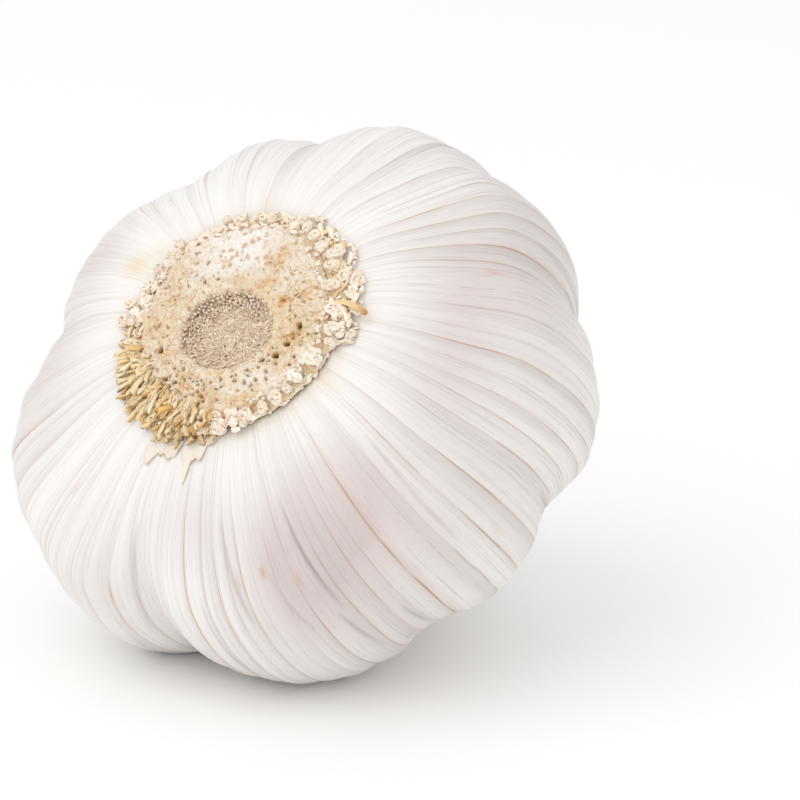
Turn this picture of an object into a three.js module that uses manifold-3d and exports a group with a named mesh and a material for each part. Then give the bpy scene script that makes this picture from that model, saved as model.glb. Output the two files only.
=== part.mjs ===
// A whole garlic bulb lying on its side, as it settles on a table: papery cloved body, corky root plate with
// its cut root stubs, and the dried stalk that ends in the neck.
//
// Millimetres. The bulb is drawn as it grows, root plate at z = 0 and neck up, and then laid down:
// the root plate faces -Y and looks up, the neck points to +Y and down, and the floor is z = 0.

import * as THREE from 'three';
import { mergeVertices } from 'three/addons/utils/BufferGeometryUtils.js';
import Module from 'manifold-3d';

const wasm = await Module();
wasm.setup();

// ---------------------------------------------------------------------------------- driving dimensions

// The body's outline, as radius and height above the root plate.
const SEAT = { radius: 11, depth: 0.6, wall: 0.5 };
const EQUATOR = { radius: 27.4, height: 17 };
const NECK = { radius: 6.4, start: 42, end: 52, rim: 5.4 };
const STALK_SOCKET = { radius: 3.5, depth: 2.6 };

// Where the outline's curves head as they leave and arrive, as [radius, height].
const HEADINGS = {
  outOfSeat: [19, -1.2],
  upToEquator: [EQUATOR.radius, 5],
  overEquator: [EQUATOR.radius, 31.5],
  intoNeck: [14.5, 34.5],
  upTheNeck: [5, 44.5],
  toTheRim: [5, 47],
};

// Each clove: the direction it lies in, how far it stands out, and how sharply its back is rounded.
const CLOVES = [
  { degrees: 66, reach: 1.85, sharpness: 10 },
  { degrees: 120, reach: 2.05, sharpness: 36 },
  { degrees: 147, reach: 2.6, sharpness: 7.5 },
  { degrees: 205, reach: 3.6, sharpness: 15 },
  { degrees: 243, reach: 2.4, sharpness: 22 },
  { degrees: 281, reach: 2.5, sharpness: 20 },
  { degrees: 308, reach: 2.3, sharpness: 36 },
  { degrees: 346, reach: 2.5, sharpness: 18 },
  { degrees: 25, reach: 2.3, sharpness: 16 },
];
const CREASE_SOFTNESS = 0.4;
const OVAL = { reach: 1.6, degrees: 128 };
const CLOVE_FADE = { root: 9, neck: 13 };

// The skin's veins stand up as fine ribs that run from the root plate to the neck and twist there.
const RIBS = { count: 62, low: 0.16, high: 0.5, jitter: 0.3, uneven: 0.1, start: 1, fade: 5 };
const NECK_TWIST = { degrees: 34, start: 30 };
const RIM_WAVE = { height: 0.45, waves: 3 };

// The corky root plate and the stubs of the cut roots around it.
const PLATE = { radius: 10.4, wall: 0.9, edge: 1.5, bevel: 0.7, crown: 1.9, lump: 0.11, sides: 44 };
const SCAR = { radius: 4.9, lip: 0.5, depth: 1.05, floorRadius: 2.5 };
const STUB_RINGS = [
  { count: 42, radius: 9.7, height: 1.15, length: 1, width: 1.15 },
  { count: 32, radius: 9.2, height: 1.65, length: 0.68, width: 1.15 },
];
const STUB_REACH = [
  { degrees: 40, radius: 11.6 },
  { degrees: 90, radius: 13.4 },
  { degrees: 125, radius: 14.4 },
  { degrees: 170, radius: 12.7 },
  { degrees: 215, radius: 11.6 },
  { degrees: 275, radius: 12.4 },
  { degrees: 332, radius: 14.8 },
  { degrees: 358, radius: 12.3 },
];
const STUB_SUNK = 1.2;
const STUB_VARIES = { place: 0.3, sway: 0.12, reach: 0.05, height: 0.2, tip: 0.25, width: 0.25 };
const STUB_TAPER = { least: 1, most: 0.6 };
const LONG_ROOT = { degrees: 343, start: 9.2, length: 5.7, lift: 1.6, arch: 0.5, curl: 1.5 };
const LONG_ROOT_WIDTH = { start: 0.8, end: 0.56 };

// The plate grew askew: its rim and stubs stand off to one side of the stem's scar, and the scar is an oval.
const ASKEW = { degrees: 268, reach: 1.6, from: 4.6, full: 10.1, fades: 11, gone: 27 };
const ASKEW_HEIGHT = { fades: 2, gone: 12 };
const SCAR_OVAL = { degrees: 350, longer: 0.08, shorter: 0.1, fades: 4.5, gone: 8.5 };

const STALK = { radius: 2.9, foot: 2.6, top: 53.4, lip: 0.4, pithRadius: 1.3, pithDepth: 0.7, sides: 20 };

// Air left between pieces that touch, so that no two solids share a surface.
const GAP = 0.3;
const SKIN_ROOM_SIDES = 72;

// How the bulb lies: the root end tips up by this much from level, and its centre stands here.
const ROOT_TILT_DEGREES = 40;
const ROOT_CENTRE = { x: -0.4, y: -15.7, z: 36.85 };
const FLOOR = 0;

// Rows of faces along the outline.
const ROWS = { underside: 9, shoulder: 12, neck: 5 };

const COLOURS = {
  skin: { color: 0xf0ece5, roughness: 0.55, metalness: 0 },
  plate: { color: 0xd8c19c, roughness: 0.9, metalness: 0 },
  stalk: { color: 0xcbb48c, roughness: 0.85, metalness: 0 },
};

const FULL_TURN = 2 * Math.PI;

// ---------------------------------------------------------------------------------------- small helpers

const radians = THREE.MathUtils.degToRad;
const mix = THREE.MathUtils.lerp;
const smoothstep = (value) => THREE.MathUtils.smoothstep(value, 0, 1);

// A seeded draw between 0 and 1, the same on every run.
function seededDraw(seed) {
  let state = seed;
  return () => {
    state = (state * 1664525 + 1013904223) % 4294967296;
    return state / 4294967296;
  };
}

// A solid turned round the height axis from its outline, given as [radius, height] pairs.
function turned(outline, sides) {
  const profile = outline.map(([radius, height]) => new THREE.Vector2(radius, height));
  return new THREE.LatheGeometry(profile, sides).rotateX(Math.PI / 2);
}

// A draw between -most and +most.
function vary(draw, most) {
  return most * (2 * draw() - 1);
}

function angleBetween(a, b) {
  const turn = (a - b) % FULL_TURN;
  return Math.abs(turn > Math.PI ? turn - FULL_TURN : turn < -Math.PI ? turn + FULL_TURN : turn);
}

// Points { radius, height } along one curve of an outline, without its last point.
function outlineStretch(from, out, back, to, steps) {
  const curve = new THREE.CubicBezierCurve(
    new THREE.Vector2(...from),
    new THREE.Vector2(...out),
    new THREE.Vector2(...back),
    new THREE.Vector2(...to),
  );
  return curve.getPoints(steps).slice(0, -1);
}

// ------------------------------------------------------------------------------------- the papery body

function bodyOutline() {
  const seat = [SEAT.radius, 0];
  const equator = [EQUATOR.radius, EQUATOR.height];
  const neck = [NECK.radius, NECK.start];
  const rim = [NECK.rim, NECK.end];
  const underside = outlineStretch(seat, HEADINGS.outOfSeat, HEADINGS.upToEquator, equator, ROWS.underside);
  const shoulder = outlineStretch(equator, HEADINGS.overEquator, HEADINGS.intoNeck, neck, ROWS.shoulder);
  const sleeve = outlineStretch(neck, HEADINGS.upTheNeck, HEADINGS.toTheRim, rim, ROWS.neck);
  return [...underside, ...shoulder, ...sleeve, new THREE.Vector2(...rim)];
}

// The way out of the body at each point of the outline, square to it.
function outlineNormals(outline) {
  return outline.map((point, index) => {
    const before = outline[Math.max(index - 1, 0)];
    const after = outline[Math.min(index + 1, outline.length - 1)];
    const along = new THREE.Vector2().subVectors(after, before).normalize();
    return new THREE.Vector2(along.y, -along.x);
  });
}

// How far the cloves push the skin out in one direction: rounded backs that meet in soft creases.
function cloveReach(angle) {
  const backs = CLOVES.map(({ degrees, reach, sharpness }) => {
    const away = angleBetween(angle, radians(degrees));
    return Math.exp((reach - sharpness * away * away) / CREASE_SOFTNESS);
  });
  const cloves = CREASE_SOFTNESS * Math.log(backs.reduce((sum, back) => sum + back, 0));
  return cloves + OVAL.reach * Math.cos(2 * (angle - radians(OVAL.degrees)));
}

function cloveFade(height) {
  return smoothstep(height / CLOVE_FADE.root) * smoothstep((NECK.start - height) / CLOVE_FADE.neck);
}

// A crest and the groove after it for every rib, unevenly spaced.
function ribColumns() {
  const draw = seededDraw(7);
  const spacing = FULL_TURN / RIBS.count;
  const columns = [];
  for (let rib = 0; rib < RIBS.count; rib += 1) {
    const crest = (rib + vary(draw, RIBS.jitter / 2)) * spacing;
    const lift = mix(RIBS.low, RIBS.high, draw());
    columns.push({ angle: crest, lift: lift / 2 });
    columns.push({ angle: crest + spacing * (0.5 + vary(draw, RIBS.uneven)), lift: -lift / 2 });
  }
  return columns;
}

// Ribs start at the seat and draw together as the body narrows.
function ribFade(point) {
  return smoothstep((point.y + RIBS.start) / RIBS.fade) * (point.x / EQUATOR.radius);
}

function neckTwist(height) {
  const share = (height - NECK_TWIST.start) / (NECK.end - NECK_TWIST.start);
  return radians(NECK_TWIST.degrees) * smoothstep(share);
}

function bodyRow(point, normal, columns) {
  const fade = cloveFade(point.y);
  const ribs = ribFade(point);
  const twist = neckTwist(point.y);
  return columns.map(({ angle, lift }) => {
    const push = fade * cloveReach(angle) + ribs * lift;
    const radius = point.x + normal.x * push;
    const height = point.y + normal.y * push;
    return new THREE.Vector3(radius * Math.cos(angle + twist), radius * Math.sin(angle + twist), height);
  });
}

// The sheaths are torn off unevenly, so the neck's end waves.
function waveRim(row) {
  return row.map((point) => {
    const wave = RIM_WAVE.height * Math.sin(RIM_WAVE.waves * Math.atan2(point.y, point.x));
    return new THREE.Vector3(point.x, point.y, point.z + wave);
  });
}

function plainRow(radius, height, columns, twist) {
  return columns.map(({ angle }) => {
    return new THREE.Vector3(radius * Math.cos(angle + twist), radius * Math.sin(angle + twist), height);
  });
}

// A closed skin over rows of points, each row a ring, ended by one point at either end.
function skinOverRows(rows, firstPole, lastPole) {
  const count = rows[0].length;
  const points = [firstPole, ...rows.flat(), lastPole];
  const last = points.length - 1;
  const at = (row, column) => 1 + row * count + (column % count);
  const faces = [];
  for (let column = 0; column < count; column += 1) {
    faces.push(0, at(0, column + 1), at(0, column));
    for (let row = 0; row < rows.length - 1; row += 1) {
      faces.push(at(row, column), at(row, column + 1), at(row + 1, column + 1));
      faces.push(at(row, column), at(row + 1, column + 1), at(row + 1, column));
    }
    faces.push(at(rows.length - 1, column), at(rows.length - 1, column + 1), last);
  }
  const geometry = new THREE.BufferGeometry().setFromPoints(points);
  geometry.setIndex(faces);
  return geometry;
}

function paperyBody() {
  const outline = bodyOutline();
  const normals = outlineNormals(outline);
  const columns = ribColumns();
  const rows = outline.map((point, index) => bodyRow(point, normals[index], columns));
  const twist = neckTwist(NECK.end);
  const floorHeight = NECK.end - STALK_SOCKET.depth;
  rows.push(waveRim(rows.pop()));
  rows.push(waveRim(plainRow(STALK_SOCKET.radius, NECK.end, columns, twist)));
  rows.push(plainRow(STALK_SOCKET.radius, floorHeight, columns, twist));
  rows.unshift(plainRow(SEAT.radius - SEAT.wall, SEAT.depth, columns, 0));
  return skinOverRows(rows, new THREE.Vector3(0, 0, SEAT.depth), new THREE.Vector3(0, 0, floorHeight));
}

// ----------------------------------------------------------------------------------------- the root plate

function solidOf(geometry) {
  const bare = geometry.clone();
  bare.deleteAttribute('normal');
  bare.deleteAttribute('uv');
  const merged = mergeVertices(bare, 1e-5);
  const mesh = new wasm.Mesh({
    numProp: 3,
    vertProperties: new Float32Array(merged.attributes.position.array),
    triVerts: new Uint32Array(merged.index.array),
  });
  return new wasm.Manifold(mesh);
}

function geometryOf(solid) {
  const { vertProperties, triVerts } = solid.getMesh();
  const geometry = new THREE.BufferGeometry();
  geometry.setAttribute('position', new THREE.BufferAttribute(new Float32Array(vertProperties), 3));
  geometry.setIndex(new THREE.BufferAttribute(new Uint32Array(triVerts), 1));
  return geometry;
}

// The plate's face seen along a radius: rim, crown round the scar, and the scar's hollow.
function plateOutline() {
  const { radius, wall, edge, bevel, crown } = PLATE;
  const { radius: scar, lip, depth, floorRadius } = SCAR;
  return [
    [radius, SEAT.depth - GAP],
    [radius, -wall],
    [radius - bevel, -edge],
    [(radius + scar) / 2, -(edge + crown) / 2],
    [scar + lip, -crown],
    [scar, -crown],
    [scar - lip, depth - crown],
    [floorRadius, depth - crown],
  ];
}

// The corky face is uneven: each point of it but the back is raised or sunk a little.
function plateDisc() {
  const draw = seededDraw(23);
  const [back, ...face] = plateOutline();
  const ring = (radius, height, lump) => {
    return Array.from({ length: PLATE.sides }, (_, side) => {
      const angle = (side / PLATE.sides) * FULL_TURN;
      const rough = radius + vary(draw, lump);
      return new THREE.Vector3(rough * Math.cos(angle), rough * Math.sin(angle), height + vary(draw, lump));
    });
  };
  const faceRings = face.map(([radius, height]) => ring(radius, height, PLATE.lump));
  const rows = [ring(back[0], back[1], 0), ...faceRings];
  const middle = new THREE.Vector3(0, 0, -PLATE.crown + SCAR.depth);
  return skinOverRows(rows.reverse(), middle, new THREE.Vector3(0, 0, back[1]));
}

// How far out the root stubs reach in one direction, eased between the given ones.
function stubReach(angle) {
  const degrees = THREE.MathUtils.euclideanModulo(THREE.MathUtils.radToDeg(angle), 360);
  const last = STUB_REACH[STUB_REACH.length - 1];
  const stops = [{ ...last, degrees: last.degrees - 360 }, ...STUB_REACH];
  stops.push({ ...STUB_REACH[0], degrees: STUB_REACH[0].degrees + 360 });
  const next = stops.findIndex((stop) => stop.degrees > degrees);
  const from = stops[next - 1];
  const to = stops[next];
  return mix(from.radius, to.radius, smoothstep((degrees - from.degrees) / (to.degrees - from.degrees)));
}

// One root stub: a tapered four-sided strand through three points.
function strand(points, width, tipWidth) {
  const rows = points.map((point, index) => {
    const before = points[Math.max(index - 1, 0)];
    const after = points[Math.min(index + 1, points.length - 1)];
    const along = new THREE.Vector3().subVectors(after, before).normalize();
    const side = new THREE.Vector3().crossVectors(along, new THREE.Vector3(0, 0, 1)).normalize();
    const over = new THREE.Vector3().crossVectors(along, side);
    const half = mix(width, tipWidth, index / (points.length - 1)) / 2;
    return [side, over, side.clone().negate(), over.clone().negate()].map((way) => {
      return point.clone().addScaledVector(way, half);
    });
  });
  return skinOverRows(rows, points[0].clone(), points[points.length - 1].clone());
}

// One stub of a ring: it starts inside the plate, lifts at its knee and ends about where its neighbours end.
function ringStub(ring, index, draw) {
  const angle = ((index + vary(draw, STUB_VARIES.place)) / ring.count) * FULL_TURN;
  const sway = vary(draw, STUB_VARIES.sway);
  const outermost = stubReach(angle) * (1 + vary(draw, STUB_VARIES.reach));
  const reach = mix(PLATE.radius, outermost, ring.length);
  const height = ring.height + vary(draw, STUB_VARIES.height);
  const width = ring.width * (1 + vary(draw, STUB_VARIES.width));
  const at = (radius, turn, drop) => {
    return new THREE.Vector3(radius * Math.cos(angle + turn), radius * Math.sin(angle + turn), -drop);
  };
  const root = at(ring.radius - STUB_SUNK, 0, height);
  const knee = at((ring.radius + reach) / 2, sway / 2, height + STUB_VARIES.tip / 2);
  const tip = at(reach, sway, height + vary(draw, STUB_VARIES.tip));
  return strand([root, knee, tip], width, width * mix(STUB_TAPER.most, STUB_TAPER.least, draw()));
}

function rootStubs() {
  const draw = seededDraw(41);
  return STUB_RINGS.flatMap((ring) => {
    return Array.from({ length: ring.count }, (_, index) => ringStub(ring, index, draw));
  });
}

// The one root left long, which curls back over the skin.
function longRoot() {
  const { degrees, start, length, lift, arch, curl } = LONG_ROOT;
  const angle = radians(degrees);
  const outward = new THREE.Vector3(Math.cos(angle), Math.sin(angle), 0);
  const aside = new THREE.Vector3(-Math.sin(angle), Math.cos(angle), 0);
  const points = [0, 1 / 3, 2 / 3, 1].map((share) => {
    const point = new THREE.Vector3(0, 0, -lift - arch * Math.sin(share * Math.PI));
    point.addScaledVector(outward, start + length * share);
    return point.addScaledVector(aside, curl * share * share);
  });
  return strand(points, LONG_ROOT_WIDTH.start, LONG_ROOT_WIDTH.end);
}

// The room the skin takes up around the plate, with a gap's width to spare, so that no stub enters it.
function skinRoom() {
  const inner = PLATE.radius;
  const spare = GAP + RIBS.high / 2;
  const underside = bodyOutline().slice(0, ROWS.underside);
  const lowered = underside.map((point) => [point.x, point.y - spare]);
  const [outer, rise] = lowered[lowered.length - 1];
  const outline = [[inner, rise], [inner, -spare], ...lowered, [inner, rise]];
  return solidOf(turned(outline, SKIN_ROOM_SIDES));
}

function largestPiece(solid) {
  const pieces = solid.decompose();
  return pieces.reduce((best, piece) => (piece.volume() > best.volume() ? piece : best));
}

function rootPlate() {
  const strands = [...rootStubs(), longRoot()].map(solidOf);
  const joined = wasm.Manifold.union([solidOf(plateDisc()), ...strands]);
  return geometryOf(largestPiece(joined.subtract(skinRoom())));
}

// -------------------------------------------------------------------------------------- the dried stalk

function driedStalk() {
  const { radius, foot, top, lip, pithRadius, pithDepth, sides } = STALK;
  const bottom = NECK.end - STALK_SOCKET.depth + GAP;
  const outline = [
    [0, bottom],
    [foot, bottom],
    [radius, (bottom + top) / 2],
    [radius, top - lip],
    [radius - lip, top],
    [pithRadius, top],
    [0, top - pithDepth],
  ];
  return turned(outline, sides);
}

// ------------------------------------------------------------------------------------------- laying it down

// Falls from 1 to 0 between where something fades and where it is gone.
function fadeOut(value, { fades, gone }) {
  return 1 - smoothstep((value - fades) / (gone - fades));
}

function directionOf(degrees) {
  return new THREE.Vector3(Math.cos(radians(degrees)), Math.sin(radians(degrees)), 0);
}

// Moves one point near the root end: the rim shifts off the scar's middle, and the scar is drawn out.
function growAskew(point) {
  const radius = Math.hypot(point.x, point.y);
  const low = fadeOut(point.z, ASKEW_HEIGHT);
  const shift = ASKEW.reach * low * smoothstep((radius - ASKEW.from) / (ASKEW.full - ASKEW.from));
  const aside = directionOf(ASKEW.degrees).multiplyScalar(shift * fadeOut(radius, ASKEW));
  const long = directionOf(SCAR_OVAL.degrees);
  const short = directionOf(SCAR_OVAL.degrees + 90);
  const drawn = low * fadeOut(radius, SCAR_OVAL);
  aside.addScaledVector(long, SCAR_OVAL.longer * drawn * point.dot(long));
  aside.addScaledVector(short, -SCAR_OVAL.shorter * drawn * point.dot(short));
  return point.add(aside);
}

// Turned onto its side and set down; what would reach through the floor is pressed flat on it.
function layDown(geometry) {
  const laid = geometry.clone();
  const grown = laid.attributes.position;
  for (let index = 0; index < grown.count; index += 1) {
    const point = growAskew(new THREE.Vector3().fromBufferAttribute(grown, index));
    grown.setXYZ(index, point.x, point.y, point.z);
  }
  laid.rotateX(-radians(90 + ROOT_TILT_DEGREES));
  laid.translate(ROOT_CENTRE.x, ROOT_CENTRE.y, ROOT_CENTRE.z);
  const place = laid.attributes.position;
  for (let index = 0; index < place.count; index += 1) {
    place.setZ(index, Math.max(place.getZ(index), FLOOR));
  }
  return laid;
}

function part(name, geometry, finish) {
  const mesh = new THREE.Mesh(layDown(geometry), new THREE.MeshStandardMaterial(finish));
  mesh.name = name;
  return mesh;
}

const bulb = new THREE.Group();
bulb.add(part('papery_bulb', paperyBody(), COLOURS.skin));
bulb.add(part('root_plate', rootPlate(), COLOURS.plate));
bulb.add(part('flower_stalk', driedStalk(), COLOURS.stalk));

export default bulb;
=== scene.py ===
"""A whole garlic bulb lying on its side, dressed for the eye.

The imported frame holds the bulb's solids. This script puts finer pieces of the same form in their place:
the papery skin with its ribs and veins, the corky root plate with its pits, scar and root stubs, the torn
ends of skin round it, and the dried stalk in the layered neck. Sizes are in millimetres and are turned to
metres where a mesh is written.
"""

import logging
import math
import random
from collections.abc import Callable, Iterator
from dataclasses import dataclass, field
from enum import Enum

import bpy
import numpy as np
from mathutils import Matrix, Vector, noise

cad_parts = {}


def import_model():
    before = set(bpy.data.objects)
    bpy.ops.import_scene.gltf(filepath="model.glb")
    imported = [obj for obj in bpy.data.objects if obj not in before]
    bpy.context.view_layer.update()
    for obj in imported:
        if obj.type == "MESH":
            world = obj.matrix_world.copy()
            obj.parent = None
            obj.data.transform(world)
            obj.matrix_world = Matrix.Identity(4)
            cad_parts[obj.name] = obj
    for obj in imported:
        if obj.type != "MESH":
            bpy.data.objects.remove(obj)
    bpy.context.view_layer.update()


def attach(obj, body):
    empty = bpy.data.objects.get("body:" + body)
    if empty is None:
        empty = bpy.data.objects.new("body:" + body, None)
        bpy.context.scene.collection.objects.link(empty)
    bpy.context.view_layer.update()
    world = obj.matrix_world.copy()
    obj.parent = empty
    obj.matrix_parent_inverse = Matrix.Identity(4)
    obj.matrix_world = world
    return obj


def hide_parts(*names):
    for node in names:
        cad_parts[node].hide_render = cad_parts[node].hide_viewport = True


MM = 0.001
MERGE_MM = 1e-4
FULL_TURN = 2 * math.pi
BODY = "root"

# Sockets of a Mix node that blends colours: they share their names with its other sockets.
MIX_FACTOR = 0
MIX_A = 6
MIX_B = 7
MIX_RESULT = 2

# How a Map Range node eases between its ends, and how much light dry plant matter turns.
SMOOTH = {"interpolation_type": "SMOOTHSTEP"}
SMOOTHER = {"interpolation_type": "SMOOTHERSTEP"}
PLANT_IOR = 1.45

log = logging.getLogger("garlic")

Array = np.ndarray
Points = np.ndarray
Attributes = dict[str, Array]
Colour = tuple[float, float, float, float]
Pair = tuple[float, float]
Triple = tuple[float, float, float]
Piece = bpy.types.Object
Tree = bpy.types.NodeTree
Socket = bpy.types.NodeSocket


# ------------------------------------------------------------------------------------------ small helpers


def smoothstep(value: Array | float) -> Array | float:
    """Eases a value between 0 and 1."""
    value = np.clip(value, 0.0, 1.0)
    return value * value * (3 - 2 * value)


def mix(low: float, high: float, share: float) -> float:
    """Returns the value that lies the given share of the way from low to high."""
    return low + (high - low) * share


def linear(hex_colour: str) -> Colour:
    """Turns an sRGB colour to the linear values that a shader works in.

    Args:
        hex_colour: the colour as "#RRGGBB".

    Returns:
        Red, green, blue and an alpha of 1.
    """
    channels = [int(hex_colour[start : start + 2], 16) / 255 for start in (1, 3, 5)]
    values = [c / 12.92 if c <= 0.04045 else ((c + 0.055) / 1.055) ** 2.4 for c in channels]
    return (values[0], values[1], values[2], 1.0)


def curve_points(start: tuple, leave: tuple, arrive: tuple, end: tuple, steps: int) -> Points:
    """Gives points along one cubic curve of an outline, without its last point.

    Args:
        start: radius and height of its first point.
        leave: where it heads as it leaves.
        arrive: where it comes from as it arrives.
        end: radius and height of its last point.
        steps: how many points to give.

    Returns:
        An array of [radius, height] rows.
    """
    share = (np.arange(steps) / steps)[:, None]
    a, b, c, d = (np.array(point, dtype=float) for point in (start, leave, arrive, end))
    rest = 1 - share
    return rest**3 * a + 3 * rest**2 * share * b + 3 * rest * share**2 * c + share**3 * d


def growth_draws(seed: int) -> Iterator[float]:
    """Yields the same seeded draws between 0 and 1 as the solids were grown with."""
    state = seed
    while True:
        state = (state * 1664525 + 1013904223) % 4294967296
        yield state / 4294967296


def angle_between(a: Array, b: Array | float) -> Array:
    """Gives the signed turn from b to a, between minus and plus half a turn."""
    return np.mod(a - b + math.pi, FULL_TURN) - math.pi


def turned_from(angle: Array, degrees: float) -> Array:
    """Gives how far each angle is turned from one direction, in radians."""
    return angle_between(angle, math.radians(degrees))


def hill(away: Array | float) -> Array | float:
    """Gives a soft hill, which is 1 at 0 and nearly gone at 2 to either side."""
    return np.exp(-(away**2))


def waved(angle: Array, *waves: Triple) -> Array:
    """Adds up waves round the bulb, each given as its count, its height and its phase."""
    return sum(height * np.sin(count * angle + phase) for count, height, phase in waves)


def round_places(radius: Array, angle: Array, height: Array) -> Points:
    """Gives the points at each radius, direction and height."""
    return np.stack([radius * np.cos(angle), radius * np.sin(angle), height], axis=1)


def soft_noise(places: Points, size: float, octaves: int = 3) -> Array:
    """Gives smooth noise about 0 at each place.

    Args:
        places: points in millimetres.
        size: the noise's largest features, in millimetres.
        octaves: how many finer layers are added.

    Returns:
        One value for each point, mostly between -1 and 1.
    """
    values = (noise.fractal(Vector(place), 1.0, 2.0, octaves) for place in places / size)
    return np.fromiter(values, dtype=float, count=len(places))


def deselect_all() -> None:
    """Clears the selection, so that the next operator acts on its own piece only."""
    for thing in bpy.context.selected_objects:
        thing.select_set(False)


def make_active(piece: Piece) -> None:
    """Selects one piece alone and makes it the active one."""
    deselect_all()
    piece.select_set(True)
    bpy.context.view_layer.objects.active = piece


def give_attributes(piece: Piece, attributes: Attributes) -> None:
    """Writes named values on a piece for its material to read.

    Args:
        piece: the mesh object.
        attributes: for each name, one number or one vector for each vertex. The one named "way" is kept for
            each corner of a face, so that it may jump where a wrapped sheet meets itself.
    """
    corners = np.empty(len(piece.data.loops), dtype=np.int32)
    piece.data.loops.foreach_get("vertex_index", corners)
    for name, values in attributes.items():
        is_vector = values.ndim == 2
        is_way = name == "way"
        layer = piece.data.attributes.new(
            name, "FLOAT_VECTOR" if is_vector else "FLOAT", "CORNER" if is_way else "POINT"
        )
        kept = values[corners] if is_way else values
        layer.data.foreach_set("vector" if is_vector else "value", kept.astype(np.float32).ravel())


def vertex_places(piece: Piece) -> Points:
    """Reads the places of a piece's vertices."""
    places = np.empty(len(piece.data.vertices) * 3, dtype=np.float32)
    piece.data.vertices.foreach_get("co", places)
    return places.reshape(-1, 3).astype(float)


def move_vertices(piece: Piece, places: Points) -> None:
    """Puts a piece's vertices at new places."""
    piece.data.vertices.foreach_set("co", places.astype(np.float32).ravel())
    piece.data.update()


def wrapped_sheet(
    name: str, columns: int, rows: int, shape: Callable[[Array, Array], tuple[Points, Attributes]]
) -> Piece:
    """Makes a closed piece from a flat grid that is wrapped round until its sides meet.

    Args:
        name: the piece's name.
        columns: faces round it.
        rows: faces along it.
        shape: gives each vertex its place in metres, and its attributes, from its turn (0 to 1) and its row.

    Returns:
        The piece, with its seam and its poles merged and its faces outwards.
    """
    deselect_all()
    bpy.ops.mesh.primitive_grid_add(x_subdivisions=columns, y_subdivisions=rows, size=1)
    piece = bpy.context.active_object
    piece.name = piece.data.name = name
    flat = vertex_places(piece)
    turn = np.rint((flat[:, 0] + 0.5) * columns) / columns
    row = np.rint((flat[:, 1] + 0.5) * rows).astype(int)
    places, attributes = shape(turn, row)
    move_vertices(piece, places)
    give_attributes(piece, attributes)
    close_and_smooth(piece)
    return piece


def close_and_smooth(piece: Piece) -> None:
    """Merges vertices that lie together, turns the faces outwards and shades them smooth."""
    make_active(piece)
    bpy.ops.object.mode_set(mode="EDIT")
    bpy.ops.mesh.select_all(action="SELECT")
    bpy.ops.mesh.remove_doubles(threshold=MERGE_MM * MM)
    bpy.ops.mesh.normals_make_consistent(inside=False)
    bpy.ops.object.mode_set(mode="OBJECT")
    bpy.ops.object.shade_smooth()


def add_node(
    tree: Tree, kind: str, inputs: dict | None = None, output: int | str = 0, **settings: str
) -> Socket | None:
    """Adds one node to a material and gives the output that is read from it.

    Args:
        tree: the node tree it joins.
        kind: the node's type, without the "ShaderNode" before it.
        inputs: for each input's name or number, a fixed value or an earlier node's output.
        output: the name or number of the output that is read.
        settings: properties of the node itself.

    Returns:
        The output, or nothing for a node that has none.
    """
    node = tree.nodes.new("ShaderNode" + kind)
    for key, value in settings.items():
        setattr(node, key, value)
    for socket, value in (inputs or {}).items():
        if isinstance(value, Socket):
            tree.links.new(value, node.inputs[socket])
        else:
            node.inputs[socket].default_value = value
    return node.outputs[output] if node.outputs else None


# --------------------------------------------------------------------------------- the form of the bulb


def fade_out(value: Array, fades: float, gone: float) -> Array:
    """Falls from 1 to 0 between where something fades and where it is gone."""
    return 1 - smoothstep((value - fades) / (gone - fades))


def direction(degrees: float) -> Array:
    """Gives the direction across the bulb at the given turn."""
    return np.array([math.cos(math.radians(degrees)), math.sin(math.radians(degrees))])


@dataclass(frozen=True)
class Askew:
    """How the root end grew askew: the plate's rim stands off to one side of the scar, which is an oval."""

    degrees: float = 268.0
    reach: float = 1.6
    start: float = 4.6
    full: float = 10.1
    fades: float = 11.0
    gone: float = 27.0
    height_fades: float = 2.0
    height_gone: float = 12.0
    oval_degrees: float = 350.0
    longer: float = 0.08
    shorter: float = 0.1
    oval_fades: float = 4.5
    oval_gone: float = 8.5

    def moved(self, grown: Points) -> Points:
        """Moves grown points near the root end as the solids' own points are moved.

        Args:
            grown: points in millimetres as the bulb grows, neck up.

        Returns:
            The moved points.
        """
        radius = np.hypot(grown[:, 0], grown[:, 1])
        low = fade_out(grown[:, 2], self.height_fades, self.height_gone)
        shift = self.reach * low * smoothstep((radius - self.start) / (self.full - self.start))
        shift = shift * fade_out(radius, self.fades, self.gone)
        drawn = low * fade_out(radius, self.oval_fades, self.oval_gone)
        flat = grown[:, :2]
        moved = grown.copy()
        moved[:, :2] += shift[:, None] * direction(self.degrees)
        for way, stretch in ((self.oval_degrees, self.longer), (self.oval_degrees + 90, -self.shorter)):
            axis = direction(way)
            moved[:, :2] += (stretch * drawn * (flat @ axis))[:, None] * axis
        return moved


@dataclass(frozen=True)
class Lie:
    """How the bulb, grown upright with its root plate at height 0, is laid down on the floor."""

    tilt_degrees: float = 40.0
    root_centre: Triple = (-0.4, -15.7, 36.85)
    askew: Askew = field(default_factory=Askew)

    def set_down(self, grown: Points) -> Points:
        """Turns grown points onto the floor and presses flat what would reach through it.

        Args:
            grown: points in millimetres as the bulb grows, neck up.

        Returns:
            The points in metres as the bulb lies.
        """
        grown = self.askew.moved(grown)
        turn = -math.radians(90 + self.tilt_degrees)
        cosine, sine = math.cos(turn), math.sin(turn)
        laid = np.empty_like(grown)
        laid[:, 0] = grown[:, 0]
        laid[:, 1] = grown[:, 1] * cosine - grown[:, 2] * sine
        laid[:, 2] = grown[:, 1] * sine + grown[:, 2] * cosine
        laid += np.array(self.root_centre)
        laid[:, 2] = np.maximum(laid[:, 2], 0.0)
        return laid * MM


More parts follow.
